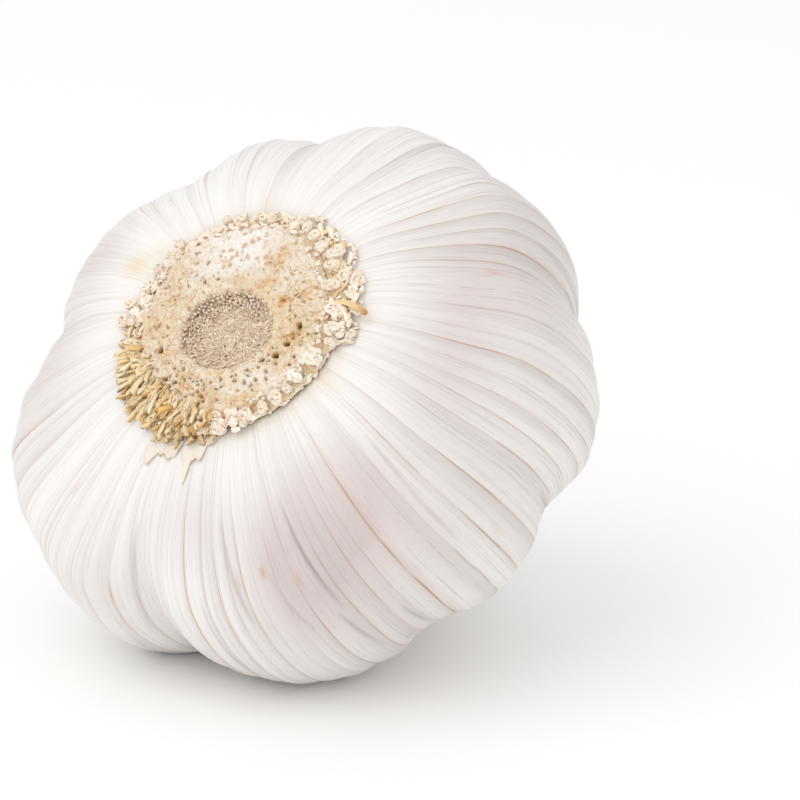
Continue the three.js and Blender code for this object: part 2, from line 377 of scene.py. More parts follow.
@dataclass(frozen=True)
class Clove:
    """One clove under the skin: the direction it lies in, how far it stands out and how sharp its back is."""

    degrees: float
    reach: float
    sharpness: float


CLOVES = (
    Clove(66, 1.85, 10),
    Clove(120, 2.05, 36),
    Clove(147, 2.6, 7.5),
    Clove(205, 3.6, 15),
    Clove(243, 2.4, 22),
    Clove(281, 2.5, 20),
    Clove(308, 2.3, 36),
    Clove(346, 2.5, 18),
    Clove(25, 2.3, 16),
)


@dataclass(frozen=True)
class BulbForm:
    """The bulb's outline and how its cloves and ribs push the skin out, in the solids' own sizes."""

    seat_radius: float = 11.0
    seat_depth: float = 0.6
    seat_wall: float = 0.5
    equator: Pair = (27.4, 17.0)
    neck: Pair = (6.4, 42.0)
    rim: Pair = (5.4, 52.0)
    socket_radius: float = 3.5
    socket_depth: float = 2.6
    crease_softness: float = 0.4
    oval_reach: float = 1.6
    oval_degrees: float = 128.0
    fade_root: float = 9.0
    fade_neck: float = 13.0
    rib_count: int = 62
    rib_low: float = 0.16
    rib_high: float = 0.5
    rib_jitter: float = 0.3
    rib_uneven: float = 0.1
    rib_start: float = 1.0
    rib_fade: float = 5.0
    twist_degrees: float = 34.0
    twist_start: float = 30.0

    def outline(self, underside: int, shoulder: int, sleeve: int) -> Points:
        """Gives the skin's outline from the seat of the root plate to the neck's rim.

        Args:
            underside: points from the seat to the equator.
            shoulder: points from the equator to the neck.
            sleeve: points along the neck.

        Returns:
            An array of [radius, height] rows.
        """
        widest = self.equator[0]
        seat = (self.seat_radius, 0.0)
        low = curve_points(seat, (19, -1.2), (widest, 5), self.equator, underside)
        high = curve_points(self.equator, (widest, 31.5), (14.5, 34.5), self.neck, shoulder)
        top = curve_points(self.neck, (5, 44.5), (5, 47), self.rim, sleeve)
        return np.vstack([low, high, top, [self.rim]])

    def clove_reach(self, angle: Array) -> Array:
        """Says how far the cloves push the skin out in each direction."""
        total = np.zeros_like(angle)
        for clove in CLOVES:
            away = angle_between(angle, math.radians(clove.degrees))
            total += np.exp((clove.reach - clove.sharpness * away**2) / self.crease_softness)
        oval = self.oval_reach * np.cos(2 * (angle - math.radians(self.oval_degrees)))
        return self.crease_softness * np.log(total) + oval

    def clove_fade(self, height: Array) -> Array:
        """Fades the cloves out towards the root plate and the neck."""
        return smoothstep(height / self.fade_root) * smoothstep((self.neck[1] - height) / self.fade_neck)

    def rib_lift(self, angle: Array) -> Array:
        """Gives the height of the skin's broad ribs in each direction, eased from crest to groove."""
        draws = growth_draws(7)
        spacing = FULL_TURN / self.rib_count
        stops: list[float] = []
        lifts: list[float] = []
        for rib in range(self.rib_count):
            crest = (rib + self.rib_jitter / 2 * (2 * next(draws) - 1)) * spacing
            lift = mix(self.rib_low, self.rib_high, next(draws)) / 2
            groove = crest + spacing * (0.5 + self.rib_uneven * (2 * next(draws) - 1))
            stops += [crest, groove]
            lifts += [lift, -lift]
        stops = [stops[-1] - FULL_TURN, *stops, stops[0] + FULL_TURN]
        lifts = [lifts[-1], *lifts, lifts[0]]
        place = np.interp(np.mod(angle - stops[0], FULL_TURN) + stops[0], stops, np.arange(len(stops)))
        before = np.floor(place).astype(int)
        after = np.minimum(before + 1, len(stops) - 1)
        heights = np.array(lifts)
        return heights[before] + (heights[after] - heights[before]) * smoothstep(place - before)

    def rib_fade_at(self, radius: Array, height: Array) -> Array:
        """Fades the ribs in from the seat and draws them together where the body narrows."""
        return smoothstep((height + self.rib_start) / self.rib_fade) * radius / self.equator[0]

    def twist(self, height: Array) -> Array:
        """Gives the turn of the skin round the neck at each height, in radians."""
        run = self.rim[1] - self.twist_start
        return math.radians(self.twist_degrees) * smoothstep((height - self.twist_start) / run)


FORM = BulbForm()
LIE = Lie()


# ------------------------------------------------------------------------------------------- the finishes


def empty_material(name: str) -> bpy.types.Material:
    """Makes a material that has no nodes yet."""
    material = bpy.data.materials.new(name)
    material.use_nodes = True
    material.node_tree.nodes.clear()
    return material


def span(value: Socket, start: float, end: float, low: float, high: float) -> dict:
    """Names the inputs that turn a value from start to end into one from low to high."""
    return {"Value": value, "From Min": start, "From Max": end, "To Min": low, "To Max": high}


def lumpy(way: Socket, size: float, detail: float, rough: float) -> dict:
    """Names the inputs of noise whose lumps are so many millimetres across."""
    return {"Vector": way, "Scale": 1 / (size * MM), "Detail": detail, "Roughness": rough}


def tinted(tree: Tree, ground: Colour | Socket, *layers: tuple) -> Socket:
    """Lays tints over a ground colour, one on top of another.

    Args:
        tree: the material's nodes.
        ground: the colour beneath.
        layers: each tint, as an sRGB colour or a node's output, and how strongly it shows, as a node's
            output or the name of the mesh attribute that says so.

    Returns:
        The colour on top.
    """
    for tint, share in layers:
        over = linear(tint) if isinstance(tint, str) else tint
        if isinstance(share, str):
            share = add_node(tree, "Attribute", output="Fac", attribute_name=share)
        inputs = {MIX_FACTOR: share, MIX_A: ground, MIX_B: over}
        ground = add_node(tree, "Mix", inputs, MIX_RESULT, data_type="RGBA")
    return ground


def surfaced(tree: Tree, colour: Socket, height: Socket, relief: Pair, look: dict) -> None:
    """Ends a material of dry plant matter with its colour and its fine relief.

    Args:
        tree: the material's nodes.
        colour: the surface's colour.
        height: how high each point of the relief stands.
        relief: the relief's strength, and its full height in millimetres.
        look: the surface's other inputs.
    """
    strength, full = relief
    normal = add_node(tree, "Bump", {"Height": height, "Strength": strength, "Distance": full * MM})
    inputs = {"Base Color": colour, "Normal": normal, "IOR": PLANT_IOR, **look}
    surface = add_node(tree, "BsdfPrincipled", inputs)
    add_node(tree, "OutputMaterial", {"Surface": surface})


@dataclass(frozen=True)
class VeinSet:
    """One set of veins that the skin is lined with.

    It has so many veins to a pleat. Half a vein's width is a share of the way to the next one. The veins
    go from the faintest to the strongest, strong ones being rarer the higher the rarity, and each fades
    and comes back within so many millimetres. The mesh attribute says where the set shows.
    """

    per_pleat: float
    half_width: float
    faintest: float
    strongest: float
    rarity: float
    fade_mm: float
    shown_by: str


FINE_VEINS = VeinSet(5.0, 0.17, 0.0, 0.55, 2.5, 7.0, "fibred")
VEIN_DASHES = VeinSet(11.0, 0.2, 0.0, 0.62, 3.2, 2.4, "fibred")
VEIN_GLOW = VeinSet(1.0, 0.2, 0.0, 0.36, 2.2, 13.0, "veined")
MAIN_VEINS = VeinSet(1.0, 0.055, 0.2, 0.95, 1.6, 10.0, "veined")


@dataclass(frozen=True)
class DriedTunic:
    """Dry garlic tunic, cured in the air: thin white leaf sheath, lined by its veins, with a faint shine.

    The fibres are drawn about twice as coarse as real ones, so that they show. A pattern's stretch is how
    much shorter it is drawn along the skin than across it before it is laid on, so that it runs in streaks.
    """

    name: str = "garlic_tunic_air_dried"
    pleats: int = 88
    white: str = "#F1EFEC"
    cream: str = "#EAE7E3"
    # Lilac of the bands between veins, which also paints the shade behind each vein.
    lilac_and_shade: str = "#CBC4C4"
    # Pinkish grey of broad patches, partly the skin's own tint and partly painted shade.
    blush_and_shade: str = "#D0C3C1"
    tan_vein: str = "#B48B68"
    grey_vein: str = "#A1928F"
    dash: str = "#9F9194"
    tan_glow: str = "#C6AC96"
    shade: str = "#C9BDB9"
    # Painted shade along the lines of the folds.
    crease_shade: str = "#887B82"
    stain: str = "#E2D0A6"
    blemish: str = "#C58A4E"
    roughness: Pair = (0.4, 0.58)
    fibre_mm: float = 0.45
    cloud_mm: float = 5.0
    sway_mm: float = 2.2
    streak_stretch: float = 0.03
    sway_stretch: float = 0.14
    sway_pleats: float = 0.3

    def lines(self, tree: Tree, across: Socket, travel: Socket, veins: VeinSet) -> tuple[Socket, Socket]:
        """Draws one set of veins, each with its own strength and fading here and there.

        Args:
            tree: the material's nodes.
            across: the way round the skin, counted in pleats.
            travel: the way along the skin, in millimetres.
            veins: the set.

        Returns:
            How strongly the veins colour each point, and each vein's own random number.
        """
        scaled = add_node(tree, "Math", {0: across, 1: veins.per_pleat}, operation="MULTIPLY")
        away = add_node(tree, "Math", {0: scaled, 1: 0.5}, operation="PINGPONG")
        core = add_node(tree, "MapRange", span(away, 0.0, veins.half_width, 1.0, 0.0), **SMOOTH)
        number = add_node(tree, "Math", {0: scaled}, operation="ROUND")
        # The last vein is the first one again, where the sheet meets itself.
        count = self.pleats * veins.per_pleat
        own = add_node(tree, "Math", {0: number, 1: count}, operation="FLOORED_MODULO")
        draw = add_node(tree, "TexWhiteNoise", {"W": own}, noise_dimensions="1D")
        rare = add_node(tree, "Math", {0: draw, 1: veins.rarity}, operation="POWER")
        strong = add_node(tree, "MapRange", span(rare, 0.0, 1.0, veins.faintest, veins.strongest))
        # Each vein reads its own track of the noise, well away from its neighbours'.
        track = add_node(tree, "Math", {0: own, 1: 7.3}, operation="MULTIPLY")
        along = add_node(tree, "Math", {0: travel, 1: 1 / veins.fade_mm}, operation="MULTIPLY")
        place = add_node(tree, "CombineXYZ", {"X": track, "Y": along})
        inputs = {"Vector": place, "Scale": 1.0, "Detail": 2.0, "Roughness": 0.6}
        coming = add_node(tree, "TexNoise", inputs, noise_dimensions="2D")
        fading = add_node(tree, "MapRange", span(coming, 0.36, 0.62, 0.08, 1.0), **SMOOTH)
        here = add_node(tree, "Attribute", output="Fac", attribute_name=veins.shown_by)
        line = core
        for factor in (fading, strong, here):
            line = add_node(tree, "Math", {0: line, 1: factor}, operation="MULTIPLY")
        return line, draw

    def build(self) -> bpy.types.Material:
        """Makes the material: streaks that follow the skin's own way from root to neck.

        Returns:
            The material.
        """
        material = empty_material(self.name)
        tree = material.node_tree
        meridian = add_node(tree, "Attribute", output="Vector", attribute_name="meridian")
        streaked, swaying = (
            add_node(tree, "Mapping", {"Vector": meridian, "Scale": (1.0, 1.0, stretch)})
            for stretch in (self.streak_stretch, self.sway_stretch)
        )
        fibres, clouds, sway = (
            add_node(tree, "TexNoise", lumpy(*look))
            for look in (
                (streaked, self.fibre_mm, 4.0, 0.6),
                (streaked, self.cloud_mm, 3.0, 0.55),
                (swaying, self.sway_mm, 3.0, 0.5),
            )
        )
        # The way round the skin in pleats, which sways by a part of a pleat to either side.
        way = add_node(tree, "Attribute", output="Vector", attribute_name="way")
        straight = add_node(tree, "SeparateXYZ", {"Vector": way}, "X")
        travel = straight.node.outputs["Y"]
        swayed = add_node(tree, "Math", {0: sway, 1: self.sway_pleats, 2: straight}, operation="MULTIPLY_ADD")
        across = add_node(tree, "Math", {0: swayed, 1: self.sway_pleats / 2}, operation="SUBTRACT")
        # Each band between two veins has its own lilac tone, with painted shade that is strongest behind its
        # first vein.
        veined = add_node(tree, "Attribute", output="Fac", attribute_name="veined")
        number = add_node(tree, "Math", {0: across}, operation="FLOOR")
        band = add_node(tree, "Math", {0: number, 1: float(self.pleats)}, operation="FLOORED_MODULO")
        draw = add_node(tree, "TexWhiteNoise", {"W": band}, noise_dimensions="1D")
        behind = add_node(tree, "Math", {0: across}, operation="FRACT")
        tone = add_node(tree, "MapRange", span(clouds, 0.4, 0.68, 0.05, 0.95))
        shade_behind_vein = add_node(tree, "MapRange", span(behind, 0.1, 1.0, 1.0, 0.15), **SMOOTH)
        for factor in (draw, shade_behind_vein, veined):
            tone = add_node(tree, "Math", {0: tone, 1: factor}, operation="MULTIPLY")
        # One side of each vein is shaded softly, as where one pleat tucks under the next.
        tuck = add_node(tree, "MapRange", span(behind, 0.0, 0.6, 0.33, 0.0), **SMOOTHER)
        tuck = add_node(tree, "Math", {0: tuck, 1: draw}, operation="MULTIPLY")
        shade = add_node(tree, "Attribute", output="Fac", attribute_name="shade")
        shade = add_node(tree, "Math", {0: tuck, 1: veined, 2: shade}, operation="MULTIPLY_ADD")
        streak = add_node(tree, "MapRange", span(fibres, 0.5, 0.8, 0.0, 0.5))
        colour = tinted(
            tree,
            linear(self.white),
            (self.cream, clouds),
            (self.blush_and_shade, "blush_and_shade"),
            (self.lilac_and_shade, tone),
            (self.shade, streak),
            (self.shade, shade),
        )
        vein_sets = ((FINE_VEINS, self.grey_vein), (VEIN_DASHES, self.dash), (VEIN_GLOW, self.tan_glow))
        for veins, vein_colour in vein_sets:
            colour = tinted(tree, colour, (vein_colour, self.lines(tree, across, travel, veins)[0]))
        main, own = self.lines(tree, across, travel, MAIN_VEINS)
        main_colour = tinted(tree, linear(self.grey_vein), (self.tan_vein, own))
        colour = tinted(
            tree,
            colour,
            (main_colour, main),
            (self.crease_shade, "crease_shade"),
            (self.stain, "stain"),
            (self.blemish, "blemish"),
        )
        look = {
            "Specular IOR Level": 0.35,
            "Roughness": add_node(tree, "MapRange", span(fibres, 0.0, 1.0, *self.roughness)),
            "Subsurface Weight": 0.12,
            "Subsurface Radius": (1.0, 0.85, 0.7),
            "Subsurface Scale": 0.9 * MM,
        }
        height = add_node(tree, "Math", {0: fibres, 1: main}, operation="SUBTRACT")
        surfaced(tree, colour, height, (0.34, 0.06), look)
        return material


@dataclass(frozen=True)
class RootCork:
    """Garlic root plate, dried: pale dull cork, granular, with brown pits where roots broke off, their depths
    darkened with painted shade.
    """

    name: str = "garlic_root_plate_dried"
    cork: str = "#F0DDBF"
    pale: str = "#FAF3EB"
    orange: str = "#DEAC6A"
    fleck: str = "#A97643"
    spot: str = "#C79A5E"
    # The pits' dark brown, with painted shade in their depth and in the cracks.
    hole_dark_and_shade: str = "#5A3A20"
    scar: str = "#DECAB0"
    scar_shadow: str = "#6C5037"
    roughness: float = 0.85
    mottle_mm: float = 1.9
    fleck_mm: float = 0.7
    grain_mm: float = 0.3

    def build(self) -> bpy.types.Material:
        """Makes the material: mottled cork under the spots, pits and scar that the mesh marks.

        Returns:
            The material.
        """
        material = empty_material(self.name)
        tree = material.node_tree
        place = add_node(tree, "TexCoord", output="Object")
        mottle, flecks, grain = (
            add_node(tree, "TexNoise", lumpy(place, *look))
            for look in (
                (self.mottle_mm, 5.0, 0.65),
                (self.fleck_mm, 3.0, 0.55),
                (self.grain_mm, 3.0, 0.7),
            )
        )
        patches = add_node(tree, "MapRange", span(mottle, 0.54, 0.7, 0.0, 0.6), **SMOOTH)
        flecked = add_node(tree, "MapRange", span(flecks, 0.6, 0.7, 0.0, 0.6), **SMOOTH)
        stained = add_node(tree, "Attribute", output="Fac", attribute_name="orange")
        stained = add_node(tree, "Math", {0: patches, 1: stained}, operation="MAXIMUM")
        colour = tinted(
            tree,
            linear(self.cork),
            (self.pale, "pale"),
            (self.orange, stained),
            (self.fleck, flecked),
            (self.scar, "scar"),
            (self.scar_shadow, "hollow"),
            (self.spot, "spot"),
            (self.hole_dark_and_shade, "hole_dark_and_shade"),
        )
        speckle = add_node(tree, "MapRange", span(grain, 0.3, 0.7, 0.82, 1.1))
        grained = add_node(tree, "VectorMath", {"Vector": colour, "Scale": speckle}, operation="SCALE")
        surfaced(tree, grained, grain, (1.0, 0.2), {"Specular IOR Level": 0.25, "Roughness": self.roughness})
        return material


@dataclass(frozen=True)
class DriedFibre:
    """Dried plant fibre, as of cut roots, bristles, skin ends and stalk: dull, streaked along its length."""

    name: str
    light: str
    dark: str
    burnt_and_shade: str
    fibre_mm: float = 0.2
    fibre_stretch: float = 0.12
    streaks: float = 0.45
    roughness: float = 0.8
    soft: float = 0.0

    def build(self) -> bpy.types.Material:
        """Makes the material from each strand's own tone and the way along it.

        Returns:
            The material.
        """
        material = empty_material(self.name)
        tree = material.node_tree
        way = add_node(tree, "Attribute", output="Vector", attribute_name="fibre")
        stretched = add_node(tree, "Mapping", {"Vector": way, "Scale": (1.0, 1.0, self.fibre_stretch)})
        fibres = add_node(tree, "TexNoise", lumpy(stretched, self.fibre_mm, 3.0, 0.6))
        streak = add_node(tree, "MapRange", span(fibres, 0.5, 0.75, 0.0, self.streaks))
        # The streaks and the mesh's marks lay the brown over the strand; the marks are partly painted shade.
        layers = ((self.dark, "tone"), (self.burnt_and_shade, streak), (self.burnt_and_shade, "burn_and_shade"))
        look = {
            "Specular IOR Level": 0.3,
            "Roughness": self.roughness,
            "Subsurface Weight": self.soft,
            "Subsurface Radius": (1.0, 0.8, 0.6),
            "Subsurface Scale": 0.6 * MM,
        }
        surfaced(tree, tinted(tree, linear(self.light), *layers), fibres, (0.6, 0.06), look)
        return material


Finish = DriedTunic | RootCork | DriedFibre

# Each: name, light and dark strands, the brown of its dried-out parts and of its painted shade, then the
# fibres' size and how far they streak it.
ROOT_FIBRE = DriedFibre("garlic_root_dried", "#FFF2CF", "#F4CA7C", "#864F1A", 0.24, streaks=0.32)
PALE_ROOT = DriedFibre("garlic_root_broken_pale", "#FFF6EA", "#F9E6CB", "#C49F74", 0.26, streaks=0.28)
SCAR_FELT = DriedFibre("garlic_stem_scar_felt", "#FCEFDD", "#D9BF9F", "#664A30", streaks=0.25)
TORN_TUNIC = DriedFibre("garlic_tunic_torn_edge", "#F3EBDF", "#EADBC6", "#B6986E", 0.5, streaks=0.1, soft=0.15)
CURLED_ROOT = DriedFibre("garlic_root_long_dried", "#F4DDAE", "#D8A35A", "#B87636", roughness=0.6)
STALK_FIBRE = DriedFibre("garlic_stalk_dried", "#DFD3BA", "#B9A47F", "#6C543A", 0.3)


# -------------------------------------------------------------------------------------- the papery body


@dataclass(frozen=True)
class Fold:
    """A fold pressed into the skin, its line darkened by painted shade.

    It lies in one direction, from its start to its end along the skin, and is so deep and so wide. One with
    a drift turns aside by so many degrees on its way, and the others sway a little.
    """

    degrees: float
    start: float
    end: float
    depth: float
    width: float
    drift: float = 0.0


FOLDS = (
    Fold(54.1, 8.5, 21, 0.25, 0.18, -2.4),
    Fold(62.6, 12.5, 22.5, 0.16, 0.14, -3.6),
    Fold(73, 8.5, 19.5, 0.17, 0.24, -3),
    Fold(53.7, 20.5, 30, 0.17, 0.17, -2),
    Fold(81, 16, 34, 0.13, 0.24),
    Fold(44, 26, 34, 0.12, 0.28),
    Fold(24, 8, 22, 0.1, 0.26),
    Fold(104, 10, 26, 0.1, 0.24),
    Fold(318, 22, 38, 0.1, 0.24),
    Fold(290, 14, 30, 0.08, 0.2),
    Fold(110, 26, 40, 0.1, 0.26),
    Fold(158, 12, 30, 0.1, 0.22),
    Fold(186, 24, 42, 0.12, 0.28),
    Fold(228, 20, 36, 0.1, 0.24),
    Fold(262, 30, 46, 0.12, 0.28),
    Fold(5, 30, 48, 0.12, 0.3),
    Fold(330, 36, 50, 0.1, 0.26),
    Fold(90, 38, 52, 0.12, 0.28),
)


@dataclass(frozen=True)
class BlushAndShade:
    """A broad pinkish patch of the skin, partly its own tint and partly painted shade: its middle, how far it
    spreads round and along, and its strength.
    """

    degrees: float
    travel: float
    spread: float
    length: float
    strength: float


BLUSH_AND_SHADE_PATCHES = (
    BlushAndShade(36, 8.5, 13, 5, 0.45),
    BlushAndShade(44, 11, 16, 6, 0.9),
    BlushAndShade(56, 14, 13, 6, 0.9),
    BlushAndShade(60, 22, 13, 6, 0.4),
    BlushAndShade(30, 19, 20, 8, 0.4),
    BlushAndShade(354, 11, 18, 6, 0.65),
    BlushAndShade(330, 12, 14, 6, 0.45),
    BlushAndShade(331, 21, 14, 7, 0.5),
    BlushAndShade(308, 24, 16, 10, 0.4),
    BlushAndShade(198, 12, 14, 6, 0.55),
    BlushAndShade(166, 12, 18, 7, 0.6),
    BlushAndShade(84, 8, 14, 5, 0.6),
    BlushAndShade(262, 24, 12, 9, 0.25),
    BlushAndShade(112, 17, 12, 8, 0.3),
    BlushAndShade(160, 34, 26, 12, 0.3),
    BlushAndShade(205, 40, 24, 12, 0.4),
    BlushAndShade(110, 44, 30, 10, 0.35),
    BlushAndShade(340, 48, 34, 9, 0.4),
)


# Yellow stains close to the root plate: direction, way along the skin and strength.
SKIN_STAINS = ((197, 4.2, 0.65), (207, 2.4, 0.35), (126, 2.5, 0.2), (262, 2.0, 0.15), (20, 1.5, 0.2))

# Tan specks on the front: direction, way along the skin, size and strength.
SKIN_SPECKS = ((65, 14.1, 0.24, 0.85), (58.2, 15.7, 0.5, 0.14), (58, 15.8, 0.18, 0.35))


@dataclass
class PaperyBody:
    """The cloved body in its papery skin, with the layered end of the neck."""

    columns: int = 900
    underside_rows: int = 30
    shoulder_rows: int = 36
    sleeve_rows: int = 16
    sheaths: int = 4
    sheath_gap: float = 0.8
    rib_share: float = 0.35
    pleat_steps: Pair = (0.006, 0.066)
    pleat_uneven: float = 0.5
    pleat_wander: float = 0.14
    pleat_wander_mm: float = 14.0
    pleat_front: float = 0.12
    pleat_fall: float = 1.4
    dent_depth: float = 0.2
    dent_count: int = 26
    dent_waves: tuple[int, int] = (5, 40)
    dent_lean: float = 0.1
    fold_sway: float = 0.03
    fold_sway_mm: float = 9.0
    smoother_degrees: float = 152.0
    smoother_spread: float = 0.95
    smoother_share: float = 0.55
    neck_from: float = 37.0
    neck_eases: float = 8.0
    neck_creases: tuple[int, ...] = (7, 11, 16, 23)
    neck_crease_depth: float = 0.13
    rim_from: float = 48.5
    rim_eases: float = 3.0
    rim_wave: float = 0.45
    rim_waves: int = 3
    rim_tear: float = 0.14
    rim_tears: tuple[Triple, ...] = ((9, 1.0, 1), (17, 0.7, 2), (41, 0.5, 0))
    speck_count: int = 34
    speck_travel: Pair = (8, 58)
    speck_size: Pair = (0.2, 0.45)
    speck_strength: Pair = (0.05, 0.4)
    finish: DriedTunic = field(default_factory=DriedTunic)

    def stations(self) -> tuple[Points, Points, slice]:
        """Lays out the rows of the skin from the seat of the root plate to the floor of the stalk's socket.

        Returns:
            The rows as [radius, height], how far each row is torn down between sheaths, and the skin's rows.
        """
        skin = FORM.outline(self.underside_rows, self.shoulder_rows, self.sleeve_rows)
        seat = [(0.0, FORM.seat_depth), (FORM.seat_radius - FORM.seat_wall, FORM.seat_depth)]
        rim_radius, rim_height = FORM.rim
        step = (rim_radius - FORM.socket_radius) / self.sheaths
        ends: list[Pair] = []
        drops: list[float] = []
        for sheath in range(self.sheaths):
            outer = rim_radius - sheath * step
            for share, drop in ((0.12, 0.0), (0.5, 0.05), (0.62, 1.0), (0.95, 1.0)):
                ends.append((outer - share * step, rim_height))
                drops.append(drop * self.sheath_gap)
        floor = rim_height - FORM.socket_depth
        socket = [(FORM.socket_radius, rim_height - 1.2), (FORM.socket_radius, floor), (0.0, floor)]
        rows = np.vstack([seat, skin, ends, socket])
        torn = np.concatenate([np.zeros(len(seat) + len(skin)), drops, np.zeros(len(socket))])
        return rows, torn, slice(len(seat), len(seat) + len(skin))

    def pleat_way(self, angle: Array, travel: Array) -> tuple[Array, Array]:
        """Counts the way round the skin in pleats, and raises each pleat along its vein.

        The veins stand at the whole numbers. They are unevenly spaced, and wander a little on their way.

        Args:
            angle: each point's direction.
            travel: each point's way along the skin from the root plate, in millimetres.

        Returns:
            The way round in pleats, and how far the pleats raise each point.
        """
        count = self.finish.pleats
        draw = random.Random(3)
        widths = np.array([math.exp(draw.gauss(0, self.pleat_uneven)) for _ in range(count)])
        starts = np.cumsum(widths) / widths.sum()
        most = self.pleat_wander
        wander = np.array([draw.uniform(-most, most) * min(width, 1.5) for width in widths]) / count
        phase = np.array([draw.uniform(0, FULL_TURN) for _ in range(count)])
        # Two pleats in three rise towards their vein, and the third sinks.
        low, high = self.pleat_steps
        signs = (-1, 1, 1)
        steps = np.array([mix(low, high, draw.random() ** 1.5) * draw.choice(signs) for _ in range(count)])
        way = np.empty_like(angle)
        for length in np.unique(travel):
            here = travel == length
            lines = (starts + wander * np.sin(length / self.pleat_wander_mm + phase)) * FULL_TURN
            lines = np.concatenate([lines[-2:] - FULL_TURN, lines, lines[:2] + FULL_TURN])
            way[here] = np.interp(angle[here], lines, np.arange(-2, count + 2))
        number = np.floor(way).astype(int) % count
        share = way - np.floor(way)
        ease = np.minimum(share / self.pleat_front, 1.0)
        return way, steps[number] * ease * (1 - share) ** self.pleat_fall

    def dents(self, angle: Array, travel: Array) -> Array:
        """Gives the long shallow dents of a dry skin that shrank on its cloves."""
        draw = random.Random(19)
        total = np.zeros_like(angle)
        for _ in range(self.dent_count):
            waves = draw.randint(*self.dent_waves)
            lean = draw.uniform(-self.dent_lean, self.dent_lean)
            total += draw.uniform(0.3, 1) * np.cos(waves * angle + lean * travel + draw.uniform(0, FULL_TURN))
        return total / (self.dent_count / 5)

    def folds(self, angle: Array, travel: Array) -> tuple[Array, Array]:
        """Presses the long creases into the skin.

        Args:
            angle: each point's direction.
            travel: each point's way along the skin from the root plate, in millimetres.

        Returns:
            How deep each point is pressed in, and how strongly it is shaded (0 to 1).
        """
        depth = np.zeros_like(angle)
        shade = np.zeros_like(angle)
        for fold in FOLDS:
            run = (travel - fold.start) / (fold.end - fold.start)
            if fold.drift:
                lean = math.radians(fold.drift) * (run - 0.5)
            else:
                lean = self.fold_sway * np.sin(travel / self.fold_sway_mm + fold.degrees)
            away = angle_between(angle, math.radians(fold.degrees) + lean) * FORM.equator[0]
            profile = hill(away / fold.width) * np.sin(np.clip(run, 0, 1) * math.pi) ** 0.7
            depth += fold.depth * profile
            shade += min(1.0, fold.depth * 4) * profile
        return depth, np.clip(shade, 0, 1)

    def row_facts(self, rows: Points, skin: slice) -> tuple[Points, Array, Array]:
        """Works out where each row faces and how far along the skin it lies.

        Args:
            rows: the rows as [radius, height].
            skin: the skin's rows.

        Returns:
            Each row's way out, its way along the skin from the root plate, and 1 where it is skin.
        """
        along = np.gradient(rows[skin], axis=0)
        along /= np.linalg.norm(along, axis=1)[:, None]
        normals = np.zeros_like(rows)
        normals[skin] = np.stack([along[:, 1], -along[:, 0]], axis=1)
        steps = np.linalg.norm(np.diff(rows[skin], axis=0), axis=1)
        travelled = np.zeros(len(rows))
        travelled[skin] = np.concatenate([[0], np.cumsum(steps)])
        travelled[skin.stop :] = travelled[skin.stop - 1]
        on_skin = np.zeros(len(rows))
        on_skin[skin] = 1.0
        return normals, travelled, on_skin

    def rim_lift(self, turned: Array, radius: Array, height: Array, torn: Array) -> Array:
        """Waves and tears the neck's end, and parts its sheaths.

        Args:
            turned: each point's direction, with the neck's twist.
            radius: its radius.
            height: its height.
            torn: how far it is torn down between two sheaths.

        Returns:
            How far each point is lifted.
        """
        wave = self.rim_wave * np.sin(self.rim_waves * turned)
        wave += self.rim_tear * waved(turned, *self.rim_tears)
        near_rim = smoothstep((height - self.rim_from) / self.rim_eases)
        return near_rim * wave - torn * (0.75 + 0.25 * np.sin(5 * turned + 4 * radius))

    def shape(self, turn: Array, row: Array) -> tuple[Points, Attributes]:
        """Gives every vertex of the skin its place and what colours it.

        Args:
            turn: how far round each vertex lies, 0 to 1.
            row: the row that it lies in.

        Returns:
            Places in metres, and the attributes that the finish reads.
        """
        rows, torn, skin = self.stations()
        normals, travelled, on_skin = self.row_facts(rows, skin)
        angle = turn * FULL_TURN
        radius, height = rows[row, 0], rows[row, 1]
        travel, is_skin = travelled[row], on_skin[row]
        cloves = FORM.clove_reach(angle)
        ribs = FORM.rib_fade_at(radius, height) * is_skin
        way, pleats = self.pleat_way(angle, travel)
        dents = self.dents(angle, travel) * self.dent_depth * smoothstep((travel - 3) / 10)
        fold_depth, fold_shade = self.folds(angle, travel)
        neckness = smoothstep((height - self.neck_from) / self.neck_eases) * is_skin
        creases = sum(np.cos(waves * angle + waves) for waves in self.neck_creases)
        push = FORM.clove_fade(height) * is_skin * cloves + ribs * self.rib_share * FORM.rib_lift(angle)
        push += ribs * smoothstep(travel / 6) * (pleats + dents * (1 - 0.5 * neckness)) - fold_depth * is_skin
        push += neckness * self.neck_crease_depth * creases
        turned = angle + FORM.twist(height)
        in_socket = row >= len(rows) - 2
        lift = self.rim_lift(turned, radius, height, torn[row]) * ~in_socket
        grown = round_places(radius + normals[row, 0] * push, turned, height + normals[row, 1] * push + lift)
        veined = (0.3 + 0.7 * smoothstep((travel - 2) / 12)) * is_skin
        from_smoother = turned_from(angle, self.smoother_degrees) / self.smoother_spread
        # Painted shade in the creases between cloves and along the folds, and a flat grey over the rows that
        # are not skin.
        shade = self.shade(travel, cloves) * is_skin + 0.6 * fold_shade + 0.25 * (1 - is_skin)
        # The folds' lines are darkened again by painted shade.
        crease_shade = fold_shade * (0.6 + 0.5 * self.dents(angle, travel * 6))
        attributes = {
            "meridian": round_places(FORM.equator[0] + 0 * angle, angle, travel) * MM,
            "way": np.stack([way, travel, 0 * way], axis=1),
            "veined": veined,
            "fibred": veined * (1 - self.smoother_share * hill(from_smoother)),
            "shade": np.clip(shade, 0, 1),
            "blush_and_shade": self.blush_and_shade(angle, travel) * veined,
            "crease_shade": np.clip(crease_shade, 0, 0.85) * is_skin,
            "stain": self.stain(angle, travel) * is_skin + 0.4 * (1 - is_skin),
            "blemish": self.blemishes(angle, travel),
        }
        return LIE.set_down(grown), attributes

